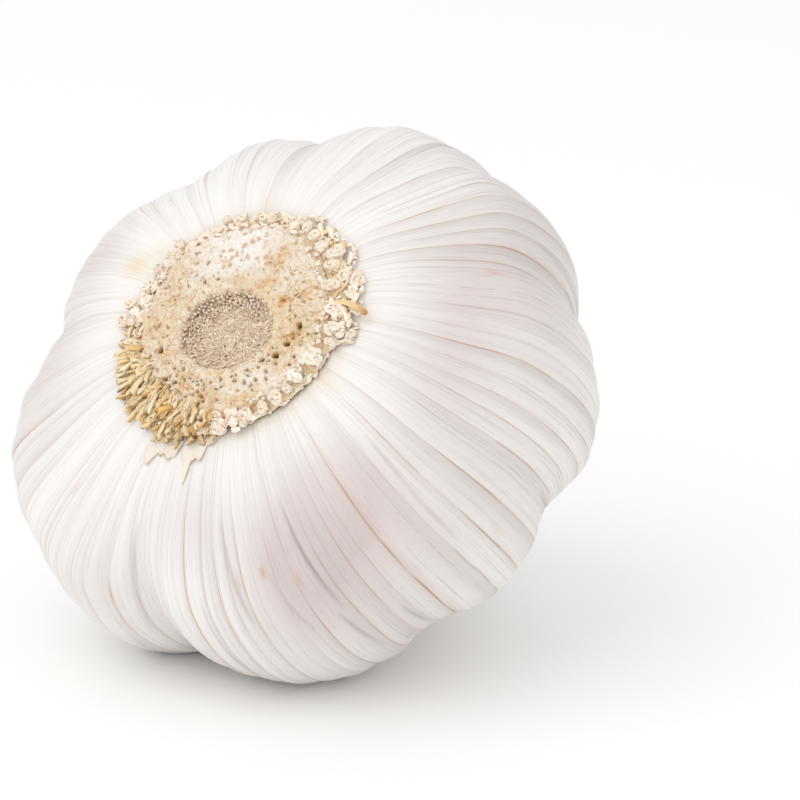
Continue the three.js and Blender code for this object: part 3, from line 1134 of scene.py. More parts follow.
    def shade(self, travel: Array, cloves: Array) -> Array:
        """Paints shade into the creases between cloves, stronger further from the root plate."""
        return 0.3 * smoothstep((1.2 - cloves) / 2.4) * smoothstep((travel - 12) / 14)

    def blush_and_shade(self, angle: Array, travel: Array) -> Array:
        """Tints the skin pinkish grey in broad soft patches, partly its own tint and partly painted shade."""
        total = np.zeros_like(angle)
        for patch in BLUSH_AND_SHADE_PATCHES:
            away = turned_from(angle, patch.degrees) / math.radians(patch.spread)
            total += patch.strength * hill(away) * hill((travel - patch.travel) / patch.length)
        return np.clip(total, 0, 1)

    def stain(self, angle: Array, travel: Array) -> Array:
        """Yellows the skin in a few places close to the root plate."""
        total = np.zeros_like(angle)
        for degrees, middle, strength in SKIN_STAINS:
            away = turned_from(angle, degrees) * (FORM.seat_radius + 2)
            total += strength * hill(away / 1.1) * hill((travel - middle) / 1.6)
        return np.clip(total + 0.3 * np.exp(-travel / 1.2), 0, 0.7)

    def blemishes(self, angle: Array, travel: Array) -> Array:
        """Puts a few small tan specks on the skin."""
        draw = random.Random(61)
        total = np.zeros_like(angle)
        for degrees, far, size, strength in SKIN_SPECKS:
            away = turned_from(angle, degrees) * 24
            total += strength * hill(away / size) * hill((travel - far) / (size * 1.5))
        for _ in range(self.speck_count):
            middle = draw.uniform(0, FULL_TURN)
            far = draw.uniform(*self.speck_travel)
            size = draw.uniform(*self.speck_size)
            away = angle_between(angle, middle) * 26
            mark = hill(away / size) * hill((travel - far) / (size * 1.8))
            total += draw.uniform(*self.speck_strength) * mark
        return np.clip(total, 0, 1)

    def build(self) -> Piece:
        """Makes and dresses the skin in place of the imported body.

        Returns:
            The skin's piece.
        """
        rows = len(self.stations()[0]) - 1
        skin = wrapped_sheet("papery_skin", self.columns, rows, self.shape)
        dressed(skin, self.finish)
        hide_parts("papery_bulb")
        return skin


# --------------------------------------------------------------------------------- small things, copied


@dataclass(frozen=True)
class Template:
    """One small shape, modelled once: it stands from 0 to 1 along Z and is about 1 across."""

    places: Points
    faces: list[tuple[int, ...]]
    groove: Array


@dataclass(frozen=True)
class Run:
    """Where one copy lies: along a bent line, with its width and depth across it."""

    foot: Triple
    bend: Triple
    tip: Triple
    side: Triple
    width: float
    depth: float
    tone: float
    # Painted shade at the foot, and the brown of the tip.
    foot_shade: float = 0.0
    tip_burn: float = 0.0
    roll: float = 0.0
    slant: float = 0.0


def tube_template(
    sides: int,
    rings: tuple[Pair, ...],
    hollow: float = 0.0,
    rim: float = 0.24,
    core: float = 0.0,
) -> Template:
    """Models a short tube: a disc extruded upwards and swelled ring by ring, its cut end sunk if hollow.

    Args:
        sides: faces round it.
        rings: height and width of each ring, from the foot up.
        hollow: how deep the cut end is sunk, or 0 for a plain end.
        rim: the width of the rim round the sunk end, as a share of that end.
        core: how far the middle of the sunk end stands up again.

    Returns:
        The shape to copy.
    """
    deselect_all()
    height, width = rings[0]
    foot = {"radius": width / 2, "location": (0, 0, height)}
    bpy.ops.mesh.primitive_circle_add(vertices=sides, fill_type="NGON", **foot)
    bpy.ops.object.mode_set(mode="EDIT")
    bpy.ops.mesh.select_all(action="SELECT")
    for next_height, next_width in rings[1:]:
        bpy.ops.mesh.extrude_region_move(TRANSFORM_OT_translate={"value": (0, 0, next_height - height)})
        bpy.ops.transform.resize(value=(next_width / width, next_width / width, 1))
        height, width = next_height, next_width
    if hollow:
        bpy.ops.mesh.inset(thickness=width * rim)
        bpy.ops.mesh.extrude_region_move(TRANSFORM_OT_translate={"value": (0, 0, -hollow)})
        bpy.ops.transform.resize(value=(0.8, 0.8, 1))
    if core:
        bpy.ops.mesh.inset(thickness=width * 0.07)
        bpy.ops.transform.translate(value=(0, 0, core))
    bpy.ops.mesh.select_all(action="SELECT")
    bpy.ops.mesh.normals_make_consistent(inside=False)
    bpy.ops.object.mode_set(mode="OBJECT")
    return lifted_template(bpy.context.active_object, rings[-1][0] - hollow if hollow else None)


def grain_template(segments: int, rings: int) -> Template:
    """Models a rounded grain that stands on the origin.

    Args:
        segments: faces round it.
        rings: faces from its foot to its top.

    Returns:
        The shape to copy.
    """
    deselect_all()
    bpy.ops.mesh.primitive_uv_sphere_add(segments=segments, ring_count=rings, radius=0.5)
    bpy.ops.object.mode_set(mode="EDIT")
    bpy.ops.mesh.select_all(action="SELECT")
    bpy.ops.transform.translate(value=(0, 0, 0.5))
    bpy.ops.object.mode_set(mode="OBJECT")
    return lifted_template(bpy.context.active_object)


def lifted_template(piece: Piece, groove_height: float | None = None) -> Template:
    """Takes a modelled piece's places and faces, and removes the piece.

    Args:
        piece: the modelled shape.
        groove_height: the height of the floor of its sunk end, if it has one.

    Returns:
        The shape to copy.
    """
    places = vertex_places(piece) + np.array(piece.location)
    faces = [tuple(face.vertices) for face in piece.data.polygons]
    bpy.data.objects.remove(piece)
    if groove_height is None:
        return Template(places, faces, np.zeros(len(places)))
    sunk = np.abs(places[:, 2] - groove_height) < 1e-4
    return Template(places, faces, sunk.astype(float))


def unit(vectors: Array) -> Array:
    """Scales vectors to length 1."""
    return vectors / np.maximum(np.linalg.norm(vectors, axis=-1, keepdims=True), 1e-12)


def laid_copies(
    name: str, template: Template, runs: list[Run], uneven: float, seed: int, flank: float = 0.0
) -> Piece:
    """Makes one piece of many copies of a small shape, each bent along its own run.

    Args:
        name: the piece's name.
        template: the shape.
        runs: where each copy lies, in grown millimetres.
        uneven: how far each vertex strays, as a share of the copy's width.
        seed: the seed of that straying.
        flank: how much painted shade darkens each copy's flanks and underside, as a share of the painted shade
            at its foot.

    Returns:
        The piece, laid down with the bulb, with the attributes that its finish reads.
    """
    draw = np.random.default_rng(seed)
    foot, bend, tip, side = (
        np.array([getattr(run, field_name) for run in runs], dtype=float)[:, None, :]
        for field_name in ("foot", "bend", "tip", "side")
    )
    width, depth, tone, foot_shade, tip_burn, roll, slant = (
        np.array([getattr(run, field_name) for run in runs], dtype=float)[:, None, None]
        for field_name in ("width", "depth", "tone", "foot_shade", "tip_burn", "roll", "slant")
    )
    along = template.places[None, :, 2:3] * (1 + slant * template.places[None, :, 0:1])
    centre = (1 - along) ** 2 * foot + 2 * (1 - along) * along * bend + along**2 * tip
    ahead = unit((1 - along) * (bend - foot) + along * (tip - bend) + 1e-9)
    level = unit(side - np.sum(side * ahead, axis=2, keepdims=True) * ahead)
    upward = np.cross(level, ahead)
    level, upward = level * np.cos(roll) + upward * np.sin(roll), upward * np.cos(roll) - level * np.sin(roll)
    across = template.places[None, :, 0:1] * width
    rise = template.places[None, :, 1:2] * depth
    stray = draw.normal(0, uneven, (len(runs), len(template.places), 3)) * np.minimum(width, depth)
    grown = centre + level * across + upward * rise + stray
    count = len(template.places)
    starts = range(0, count * len(runs), count)
    faces = [tuple(corner + start for corner in face) for start in starts for face in template.faces]
    mesh = bpy.data.meshes.new(name)
    mesh.from_pydata(LIE.set_down(grown.reshape(-1, 3)).tolist(), [], faces)
    piece = bpy.data.objects.new(name, mesh)
    bpy.context.scene.collection.objects.link(piece)
    length = np.linalg.norm(tip - foot, axis=2, keepdims=True)
    fibre = np.concatenate([across + 0 * along, rise + 0 * along, along * length], axis=2)
    fibre += draw.uniform(0, 50, (len(runs), 1, 3))
    # The tip's own brown, and painted shade: darker at the foot, on the floor of a sunk end, and over the
    # flanks and underside.
    burn_and_shade = foot_shade * (1 - along) ** 2 + tip_burn * along**3 + 0.26 * template.groove[None, :, None]
    burn_and_shade = burn_and_shade + flank * foot_shade * np.clip(0.5 + (grown - centre)[:, :, 2:3] / depth, 0, 1)
    give_attributes(
        piece,
        {
            "fibre": fibre.reshape(-1, 3) * MM,
            "tone": (tone + 0 * along).ravel(),
            "burn_and_shade": np.clip(burn_and_shade, 0, 1).ravel(),
        },
    )
    make_active(piece)
    bpy.ops.object.shade_smooth_by_angle(angle=math.radians(42))
    return piece


def dressed(piece: Piece, finish: Finish) -> Piece:
    """Gives a piece its finish and its body."""
    piece.data.materials.append(finish.build())
    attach(piece, BODY)
    return piece


def polar(radius: float, degrees: float, outward: float) -> Triple:
    """Places a point by its radius and direction, and how far it stands out from the bulb's root end."""
    angle = math.radians(degrees)
    return (radius * math.cos(angle), radius * math.sin(angle), -outward)


def crosswise(degrees: float) -> Triple:
    """Gives the direction round the bulb at one place."""
    angle = math.radians(degrees)
    return (-math.sin(angle), math.cos(angle), 0.0)


# ---------------------------------------------------------------------------------------- the root plate


@dataclass(frozen=True)
class Pit:
    """A mark on the root plate: where it lies, how wide and deep, how dark and how brown; the dark is its own
    dark brown with painted shade in its depth.
    """

    x: float
    y: float
    radius: float
    depth: float
    dark: float
    brown: float
    lip: float


@dataclass(frozen=True)
class PitZone:
    """A part of the root plate that has one sort of marks."""

    count: int
    degrees: Pair
    reach: Pair
    radius: Pair
    depth: float
    dark: float
    brown: float
    lip: float


PIT_ZONES = (
    PitZone(24, (234, 298), (6.8, 9.9), (0.17, 0.29), 0.05, 0.0, 0.8, 0.04),
    PitZone(38, (200, 330), (5.4, 8.2), (0.09, 0.15), 0.06, 0.2, 0.9, 0.0),
    PitZone(28, (320, 400), (6.0, 9.8), (0.1, 0.2), 0.2, 0.5, 0.75, 0.07),
    PitZone(36, (44, 125), (5.8, 9.4), (0.11, 0.25), 0.18, 0.5, 0.75, 0.1),
    PitZone(20, (130, 225), (6.0, 9.6), (0.1, 0.2), 0.18, 0.4, 0.7, 0.07),
)


# Single open holes where thick roots have gone: direction, reach from the middle, size and darkness, which is
# their dark brown with painted shade in them.
OPEN_HOLES = (
    (355, 8.0, 0.3, 0.95), (10, 7.5, 0.3, 0.95), (21, 7.0, 0.34, 0.95), (31, 6.1, 0.26, 0.9),
    (18, 8.9, 0.14, 0.8), (24, 9.0, 0.14, 0.8), (146, 7.7, 0.3, 0.8), (122, 8.9, 0.24, 0.7),
    (115, 8.3, 0.24, 0.8), (321, 6.2, 0.2, 0.35), (326, 7.4, 0.2, 0.35), (230, 7.6, 0.24, 0.3),
    (227, 6.2, 0.22, 0.45), (240, 6.0, 0.16, 0.4), (99.5, 9.5, 0.36, 0.95), (107.5, 9.4, 0.3, 0.9),
    (89.5, 9.6, 0.26, 0.9),
)

# Brown stains on the face: direction, reach from the middle, size and strength.
STAINS = (
    (289, 7.8, 1.3, 0.85), (296, 6.4, 0.9, 0.6), (194, 7.4, 0.9, 0.6), (139, 7.2, 1.1, 0.6),
    (111, 7.4, 1.0, 0.6), (321, 6.1, 0.8, 0.7), (330, 8.2, 1.0, 0.5), (5, 7.8, 1.3, 0.6),
    (24, 7.6, 1.3, 0.5), (85, 8.8, 1.4, 0.4), (165, 8.6, 1.3, 0.4), (215, 9.2, 1.0, 0.35),
)


@dataclass(frozen=True)
class Lumps:
    """One scale of unevenness: where the noise is read, its size in millimetres and its finer layers."""

    offset: float
    size: float
    layers: int

    def over(self, places: Points) -> Array:
        """Gives the unevenness at each place."""
        return soft_noise(places + self.offset, self.size, self.layers)


@dataclass
class RootPlate:
    """The corky root plate: a low disc with the stem's scar in its middle and pits where roots have gone."""

    columns: int = 560
    face_rows: int = 112
    radius: float = 10.4
    back: float = -0.3
    profile: tuple[Pair, ...] = (
        (0.0, 0.95), (2.4, 0.9), (3.85, 0.95), (4.45, 1.35), (4.9, 1.85), (5.6, 1.9),
        (8.0, 1.72), (9.6, 1.5), (10.4, 0.95),
    )
    rounding: float = 0.24
    edge_waves: tuple[Triple, ...] = ((5, 0.18, 1), (11, 0.12, 0), (23, 0.07, 2))
    edge_drops: Pair = (1.0, 0.35)
    scar_radius: float = 4.75
    scar_tilt: float = 0.22
    scar_low_degrees: float = 235.0
    broad: Lumps = Lumps(7, 3.4, 2)
    middling: Lumps = Lumps(31, 1.1, 3)
    fine: Lumps = Lumps(63, 0.42, 3)
    knobs: Lumps = Lumps(17, 1.7, 4)
    crust: Lumps = Lumps(90, 4.2, 4)
    stain_edges: Lumps = Lumps(44, 0.9, 3)
    pit_spacing: float = 1.25
    smooth_top: float = 256.0
    smooth_low: float = 48.0
    finish: RootCork = field(default_factory=RootCork)

    def seen(self, x: float, y: float) -> Pair:
        """Gives where a place on the face ends up in the plate that grew askew."""
        moved = LIE.askew.moved(np.array([[x, y, 0.0]]))[0]
        return float(moved[0]), float(moved[1])

    def pits(self) -> list[Pit]:
        """Draws the pits and spots of every zone, none on top of another."""
        draw = random.Random(11)
        pits: list[Pit] = []
        for degrees, reach, size, dark in OPEN_HOLES:
            x, y = self.seen(*reach * direction(degrees))
            pits.append(Pit(x, y, size, 0.55 * dark, dark, 0.95, 0.09))
        for zone in PIT_ZONES:
            left = zone.count
            for _ in range(zone.count * 30):
                if not left:
                    break
                angle = math.radians(draw.uniform(*zone.degrees))
                reach = draw.uniform(*zone.reach)
                size = draw.uniform(*zone.radius)
                x, y = self.seen(reach * math.cos(angle), reach * math.sin(angle))
                gaps = (math.hypot(x - pit.x, y - pit.y) / (size + pit.radius) for pit in pits)
                if any(gap < self.pit_spacing for gap in gaps):
                    continue
                dark = zone.dark * draw.uniform(0.6, 1)
                pits.append(Pit(x, y, size, zone.depth * draw.uniform(0.7, 1.2), dark, zone.brown, zone.lip))
                left -= 1
        return pits

    def stains(self, places: Points) -> Array:
        """Browns the face in soft irregular patches."""
        total = np.zeros(len(places))
        for degrees, reach, size, strength in STAINS:
            away = np.linalg.norm(places[:, :2] - np.array(self.seen(*reach * direction(degrees))), axis=1)
            total = np.maximum(total, strength * hill(away / size))
        return total * (0.7 + 1.1 * self.stain_edges.over(places))

    def face_height(self, radius: Array) -> Array:
        """Gives how far the plate's face stands out at each radius, with its corners rounded."""
        radii, heights = zip(*self.profile)
        steps = np.linspace(-self.rounding, self.rounding, 5)
        return sum(np.interp(np.abs(radius + step), radii, heights) for step in steps) / len(steps)

    def face_at(self, reach: float) -> float:
        """Gives how far the plate's face stands out at one radius."""
        return float(self.face_height(np.array([reach]))[0])

    def scar_slope(self, angle: Array | float, radius: Array | float) -> Array | float:
        """Gives how far the scar's floor leans out of level at each place."""
        low = math.radians(self.scar_low_degrees)
        return -self.scar_tilt * np.cos(angle - low) * radius / self.scar_radius

    def pitted(self, seen: Points, wall: Array) -> tuple[Array, Array, Array]:
        """Sinks the pits into the face, each a little out of round.

        Args:
            seen: where each vertex lies in the plate that grew askew.
            wall: which of them are past the face's edge.

        Returns:
            How far each vertex is raised, how dark it is inside a pit, its dark brown with painted shade, and
            how brown as a spot.
        """
        raised, hole_dark_and_shade, spot = (np.zeros(len(seen)) for _ in range(3))
        for pit in self.pits():
            east, north = seen[:, 0] - pit.x, seen[:, 1] - pit.y
            bearing = np.arctan2(north, east)
            odd = 1 + 0.2 * np.sin(2 * bearing + 40 * pit.x) + 0.14 * np.sin(3 * bearing + 40 * pit.y)
            away = np.hypot(east, north) / (pit.radius * odd)
            near = ~wall & (away < 2.4)
            away = away[near]
            raised[near] += pit.lip * hill((away - 1.35) / 0.3) - pit.depth * smoothstep((1.12 - away) / 0.5)
            hole_dark_and_shade[near] = np.maximum(hole_dark_and_shade[near], pit.dark * smoothstep((0.95 - away) / 0.45))
            spot[near] = np.maximum(spot[near], pit.brown * smoothstep((1.3 - away) / 0.45))
        return raised, hole_dark_and_shade, spot

    def shape(self, turn: Array, row: Array) -> tuple[Points, Attributes]:
        """Gives every vertex of the plate its place and what colours it.

        Args:
            turn: how far round each vertex lies, 0 to 1.
            row: its row, from the face's middle over the edge to the middle of the back.

        Returns:
            Places in metres, and the attributes that the finish reads.
        """
        angle = turn * FULL_TURN
        share = np.minimum(row / self.face_rows, 1.0) ** 0.85
        wall = row > self.face_rows
        past_edge = (*self.edge_drops, self.back, self.back)
        outward = self.face_height(share * self.radius)
        outward = np.where(wall, np.interp(row - self.face_rows, range(4), past_edge), outward)
        radius = share * (self.radius + waved(angle, *self.edge_waves))
        radius = np.where(row >= self.face_rows + 3, 0.0, radius)
        flat = round_places(radius, angle, np.zeros_like(angle))
        seen = LIE.askew.moved(flat)
        on_face = (~wall) * smoothstep((self.radius - radius) / 0.6)
        in_scar = smoothstep((self.scar_radius + 0.25 - radius) / 0.6)
        broad, middling, fine = (scale.over(seen) for scale in (self.broad, self.middling, self.fine))
        knobs = np.abs(self.knobs.over(seen))
        crust = smoothstep(self.crust.over(seen) / 0.1)
        # The face is smooth along its top, and in a patch of its low side between crusts.
        top = hill(turned_from(angle, self.smooth_top) / 0.68) * smoothstep((radius - 5.6) / 1.5)
        low = hill(turned_from(angle, self.smooth_low) / 0.45) * smoothstep((radius - 6.2) / 1.2)
        smooth = np.clip(0.85 * top + 0.49 * low * (1 - crust), 0, 1)
        crack = smoothstep((0.06 - knobs) / 0.06) * (1 - smooth)
        rough = 0.22 * broad + 0.12 * middling + 0.14 * crust
        rough += (1 - 0.7 * smooth) * (0.14 * fine + 0.7 * knobs)
        floor = self.scar_slope(angle, radius) + 0.08 * middling + 0.1 * fine
        raised, hole_dark_and_shade, spot = self.pitted(seen, wall)
        outward = outward + on_face * ((1 - in_scar) * rough + in_scar * floor) + raised
        grown = np.stack([flat[:, 0], flat[:, 1], -outward], axis=1)
        edge = np.where(wall, 0.55, 0.4 * smoothstep((radius - self.radius + 0.7) / 0.6) * (1 - smooth))
        attributes = {
            # Pits and cracks are darkened: their dark brown with painted shade in them.
            "hole_dark_and_shade": np.maximum(hole_dark_and_shade, 0.2 * crack * smoothstep((fine + 0.15) / 0.3) * (1 - in_scar)),
            "orange": np.clip(self.stains(seen) + 0.8 * edge + 0.75 * crack * (1 - in_scar), 0, 1),
            "spot": spot * (0.75 + 0.25 * np.sin(np.degrees(angle) * 7)),
            "scar": in_scar * 0.9,
            "hollow": np.clip(in_scar * smoothstep((0.05 - fine) / 0.5) * 0.8, 0, 1),
            "pale": np.clip(1.2 * smooth + 0.3 * (1 - crust) * (1 - smooth), 0, 1),
        }
        return LIE.set_down(grown), attributes

    def build(self) -> Piece:
        """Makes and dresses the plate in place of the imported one.

        Returns:
            The plate's piece.
        """
        plate = wrapped_sheet("root_plate_cork", self.columns, self.face_rows + 3, self.shape)
        dressed(plate, self.finish)
        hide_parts("root_plate")
        return plate


@dataclass
class StemScar:
    """The felt in the old stem's scar: bristles all over it and beads along its steep side."""

    radius: float = 4.6
    bristles: int = 1500
    bristle_heading: Pair = (20.0, 55.0)
    bristle_length: Pair = (0.55, 1.2)
    bristle_lean: Pair = (0.15, 0.5)
    bristle_width: Pair = (0.11, 0.19)
    bristle_sunk: float = 0.12
    beads: int = 210
    bead_spread: float = 62.0
    bead_reach: Pair = (3.2, 4.85)
    bead_size: Pair = (0.27, 0.42)
    bead_rise: Pair = (0.35, 0.6)
    bead_spacing: float = 0.3
    bead_sunk: float = 0.2
    plate: RootPlate = field(default_factory=RootPlate)

    def bristle_runs(self) -> list[Run]:
        """Lays the bristles over the scar, mostly aslant and crossing.

        Returns:
            One run for each bristle.
        """
        draw = random.Random(29)
        runs = []
        for _ in range(self.bristles):
            reach = self.radius * 0.98 * math.sqrt(draw.random())
            degrees = draw.uniform(0, 360)
            floor = self.plate.face_at(reach) + float(self.plate.scar_slope(math.radians(degrees), reach))
            heading = math.radians(draw.gauss(*self.bristle_heading))
            length = draw.uniform(*self.bristle_length)
            lean = length * draw.uniform(*self.bristle_lean)
            foot = np.array(polar(reach, degrees, floor - self.bristle_sunk))
            ahead = np.array([math.cos(heading), math.sin(heading), 0.0])
            bend = foot + ahead * length * 0.4 + np.array([0, 0, -lean * 0.8])
            tip = foot + ahead * length + np.array([0, 0, -lean * draw.uniform(0.3, 0.9)])
            if math.hypot(tip[0], tip[1]) > self.radius:
                continue
            side = (-ahead[1], ahead[0], 0.0)
            width = draw.uniform(*self.bristle_width)
            tone = draw.random() ** 1.3
            runs.append(Run(tuple(foot), tuple(bend), tuple(tip), side, width, width * 0.8, tone, 0.55))
        return runs

    def bead_runs(self) -> list[Run]:
        """Stands the beads along the scar's steep wall, closest where it is deepest.

        Returns:
            One run for each bead.
        """
        draw = random.Random(37)
        runs: list[Run] = []
        for _ in range(self.beads * 60):
            if len(runs) == self.beads:
                break
            degrees = draw.gauss(self.plate.scar_low_degrees, self.bead_spread)
            reach = draw.uniform(*self.bead_reach)
            foot = np.array(polar(reach, degrees, self.plate.face_at(reach) - self.bead_sunk))
            if any(math.dist(foot[:2], run.foot[:2]) < self.bead_spacing for run in runs):
                continue
            inward = -0.15 * foot[:2] / reach
            size = draw.uniform(*self.bead_size)
            tip = foot + np.array([*inward, -draw.uniform(*self.bead_rise)])
            middle = (foot + tip) / 2
            tone = draw.uniform(0.1, 0.9)
            around = crosswise(degrees)
            runs.append(Run(tuple(foot), tuple(middle), tuple(tip), around, size, size, tone, 1.0))
        return runs

    def build(self) -> list[Piece]:
        """Makes the bristles and the beads.

        Returns:
            Both pieces.
        """
        bristle = tube_template(4, ((0.0, 1.0), (0.35, 1.1), (0.75, 0.9), (1.0, 0.45)))
        bead = grain_template(7, 5)
        bristles = laid_copies("scar_bristles", bristle, self.bristle_runs(), 0.1, 41)
        beads = laid_copies("scar_beads", bead, self.bead_runs(), 0.05, 43)
        return [dressed(piece, SCAR_FELT) for piece in (bristles, beads)]


class StubKind(Enum):
    """How a cut root looks."""

    STRAND = "strand"
    RING = "ring"
    GRAIN = "grain"


@dataclass(frozen=True)
class StubZone:
    """A stretch of the plate's rim that has one kind of cut root."""

    kind: StubKind
    count: int
    degrees: Pair
    foot: Pair
    lift: Pair
    length: Pair
    width: Pair
    slope: Pair
    tone: Pair
    burn_and_shade: float


# The zones of each kind, in the order of a zone's values from its count on.
STUB_ZONES = {
    StubKind.STRAND: (
        # packed and golden on the low left side, in layers
        (124, (96, 158), (9.9, 11.4), (0.4, 0.9), (1.6, 3.2), (0.32, 0.7), (-0.15, 0.2), (0.0, 0.9), 0.5),
        (34, (150, 178), (10.6, 11.9), (0.3, 0.7), (0.7, 1.4), (0.3, 0.5), (-0.1, 0.2), (0.1, 0.7), 0.8),
        (92, (92, 154), (9.4, 10.4), (0.9, 1.5), (1.2, 2.6), (0.3, 0.62), (-0.25, 0.2), (0.0, 0.8), 0.5),
        (50, (94, 146), (8.7, 9.7), (1.4, 1.8), (0.9, 1.9), (0.28, 0.56), (-0.35, 0.1), (0.0, 0.7), 0.6),
        # a ragged mass at the foot of the plate
        (74, (80, 108), (9.4, 11.2), (0.5, 1.3), (1.2, 2.7), (0.34, 0.78), (-0.3, 0.6), (0.1, 1.0), 0.6),
        # low and pale on the right, and small along the top
        (48, (286, 354), (9.8, 12.4), (0.3, 0.8), (0.9, 1.7), (0.28, 0.56), (-0.1, 0.2), (0.0, 0.4), 0.15),
        (44, (240, 300), (10.1, 11.3), (0.4, 0.7), (0.5, 1.1), (0.22, 0.38), (0.0, 0.5), (0.0, 0.3), 0.15),
    ),
    StubKind.RING: (
        # low and crusty on the right, then on the left
        (22, (300, 362), (10.2, 13.0), (0.3, 0.7), (0.7, 1.1), (0.45, 0.8), (0.1, 0.7), (0.0, 0.4), 0.25),
        (22, (168, 222), (10.3, 11.6), (0.5, 0.8), (0.6, 1.1), (0.45, 0.8), (0.2, 1.2), (0.0, 0.4), 0.4),
    ),
    StubKind.GRAIN: (
        # coarse at the foot of the plate, then crumbs between the broken roots, then pale on the right
        (26, (60, 92), (9.8, 11.9), (0.5, 1.2), (0.7, 1.2), (0.6, 1.1), (0.2, 0.8), (0.0, 0.25), 0.4),
        (50, (0, 62), (10.3, 11.4), (0.1, 0.5), (0.3, 0.6), (0.25, 0.5), (0.0, 0.8), (0.0, 0.5), 0.3),
        (90, (290, 362), (10.4, 13.7), (0.2, 0.7), (0.3, 0.7), (0.25, 0.55), (0.0, 0.8), (0.0, 0.4), 0.25),
        # crumbs that break the plate's own edge
        (60, (-70, 60), (9.4, 10.3), (1.05, 1.45), (0.4, 0.6), (0.3, 0.55), (0.3, 1.2), (0.0, 0.6), 0.4),
        (70, (165, 290), (9.7, 10.4), (0.9, 1.3), (0.35, 0.6), (0.25, 0.5), (0.3, 1.2), (0.0, 0.6), 0.35),
        # small along the top and the left
        (110, (228, 304), (10.2, 11.8), (0.4, 0.7), (0.35, 0.7), (0.28, 0.56), (0.3, 1.0), (0.0, 0.25), 0.25),
        (100, (156, 234), (10.2, 12.0), (0.4, 0.7), (0.4, 0.9), (0.3, 0.65), (0.2, 0.9), (0.0, 0.4), 0.4),
    ),
}

# Broken roots whose flat ends are seen: direction, reach from the middle, width across it and along it.
NUBS = (
    (13.2, 10.6, 1.8, 1.9), (27.8, 10.3, 1.3, 1.5), (34.5, 10.6, 0.9, 1.0), (43.2, 10.8, 1.2, 1.4),
    (50.9, 10.9, 1.0, 1.2), (59.7, 10.8, 1.2, 1.3), (67.7, 10.9, 1.2, 1.3), (77.8, 11.4, 1.3, 1.5),
    (356.6, 11.3, 1.6, 2.1), (345.4, 10.9, 1.3, 2.1), (3.5, 11.4, 0.7, 1.3), (338.0, 12.4, 0.8, 1.2),
    (331.1, 10.6, 1.0, 2.0), (327.0, 11.9, 1.1, 1.6), (330.5, 13.2, 1.2, 1.5), (320.0, 11.0, 1.0, 1.6),
    (313.5, 11.8, 1.3, 1.9), (306.0, 11.0, 1.1, 1.4), (298.0, 11.2, 1.0, 1.3), (291.6, 11.5, 0.9, 1.3),
    (285.0, 10.9, 0.8, 1.0), (270.0, 10.9, 0.8, 0.9), (251.9, 11.2, 1.1, 1.0), (243.0, 11.4, 0.8, 0.9),
    (215.6, 11.6, 1.3, 1.2), (198.0, 11.4, 1.0, 0.9), (188.5, 11.5, 1.0, 0.9), (178.4, 12.5, 1.1, 1.3),
    (169.9, 12.8, 1.2, 1.4), (169.5, 11.7, 0.9, 1.0), (109.7, 9.8, 0.8, 0.8), (106.9, 10.2, 0.7, 0.8),
    (96.7, 9.9, 0.6, 1.4), (82.1, 11.3, 1.3, 1.6), (76.8, 10.6, 1.1, 1.2), (74.8, 11.8, 1.2, 1.0),
)

# How far out the cut roots reach: direction and reach.
STUB_REACH = (
    (13, 11.7), (47, 11.7), (75, 12.2), (91, 13.6), (109, 14.4), (125, 14.6), (140, 14.1), (153, 13.4),
    (170, 12.4), (186, 11.2), (226, 10.9), (241, 10.9), (268, 12.0), (290, 12.8), (311, 13.6), (332, 14.1),
    (350, 13.1), (358, 12.4), (373, 11.7),
)


def stub_limit(degrees: Array) -> Array:
    """Says how far out the cut roots reach in each direction."""
    turns, reaches = zip(*STUB_REACH)
    return np.interp(np.mod(degrees - turns[0], 360) + turns[0], turns, reaches)


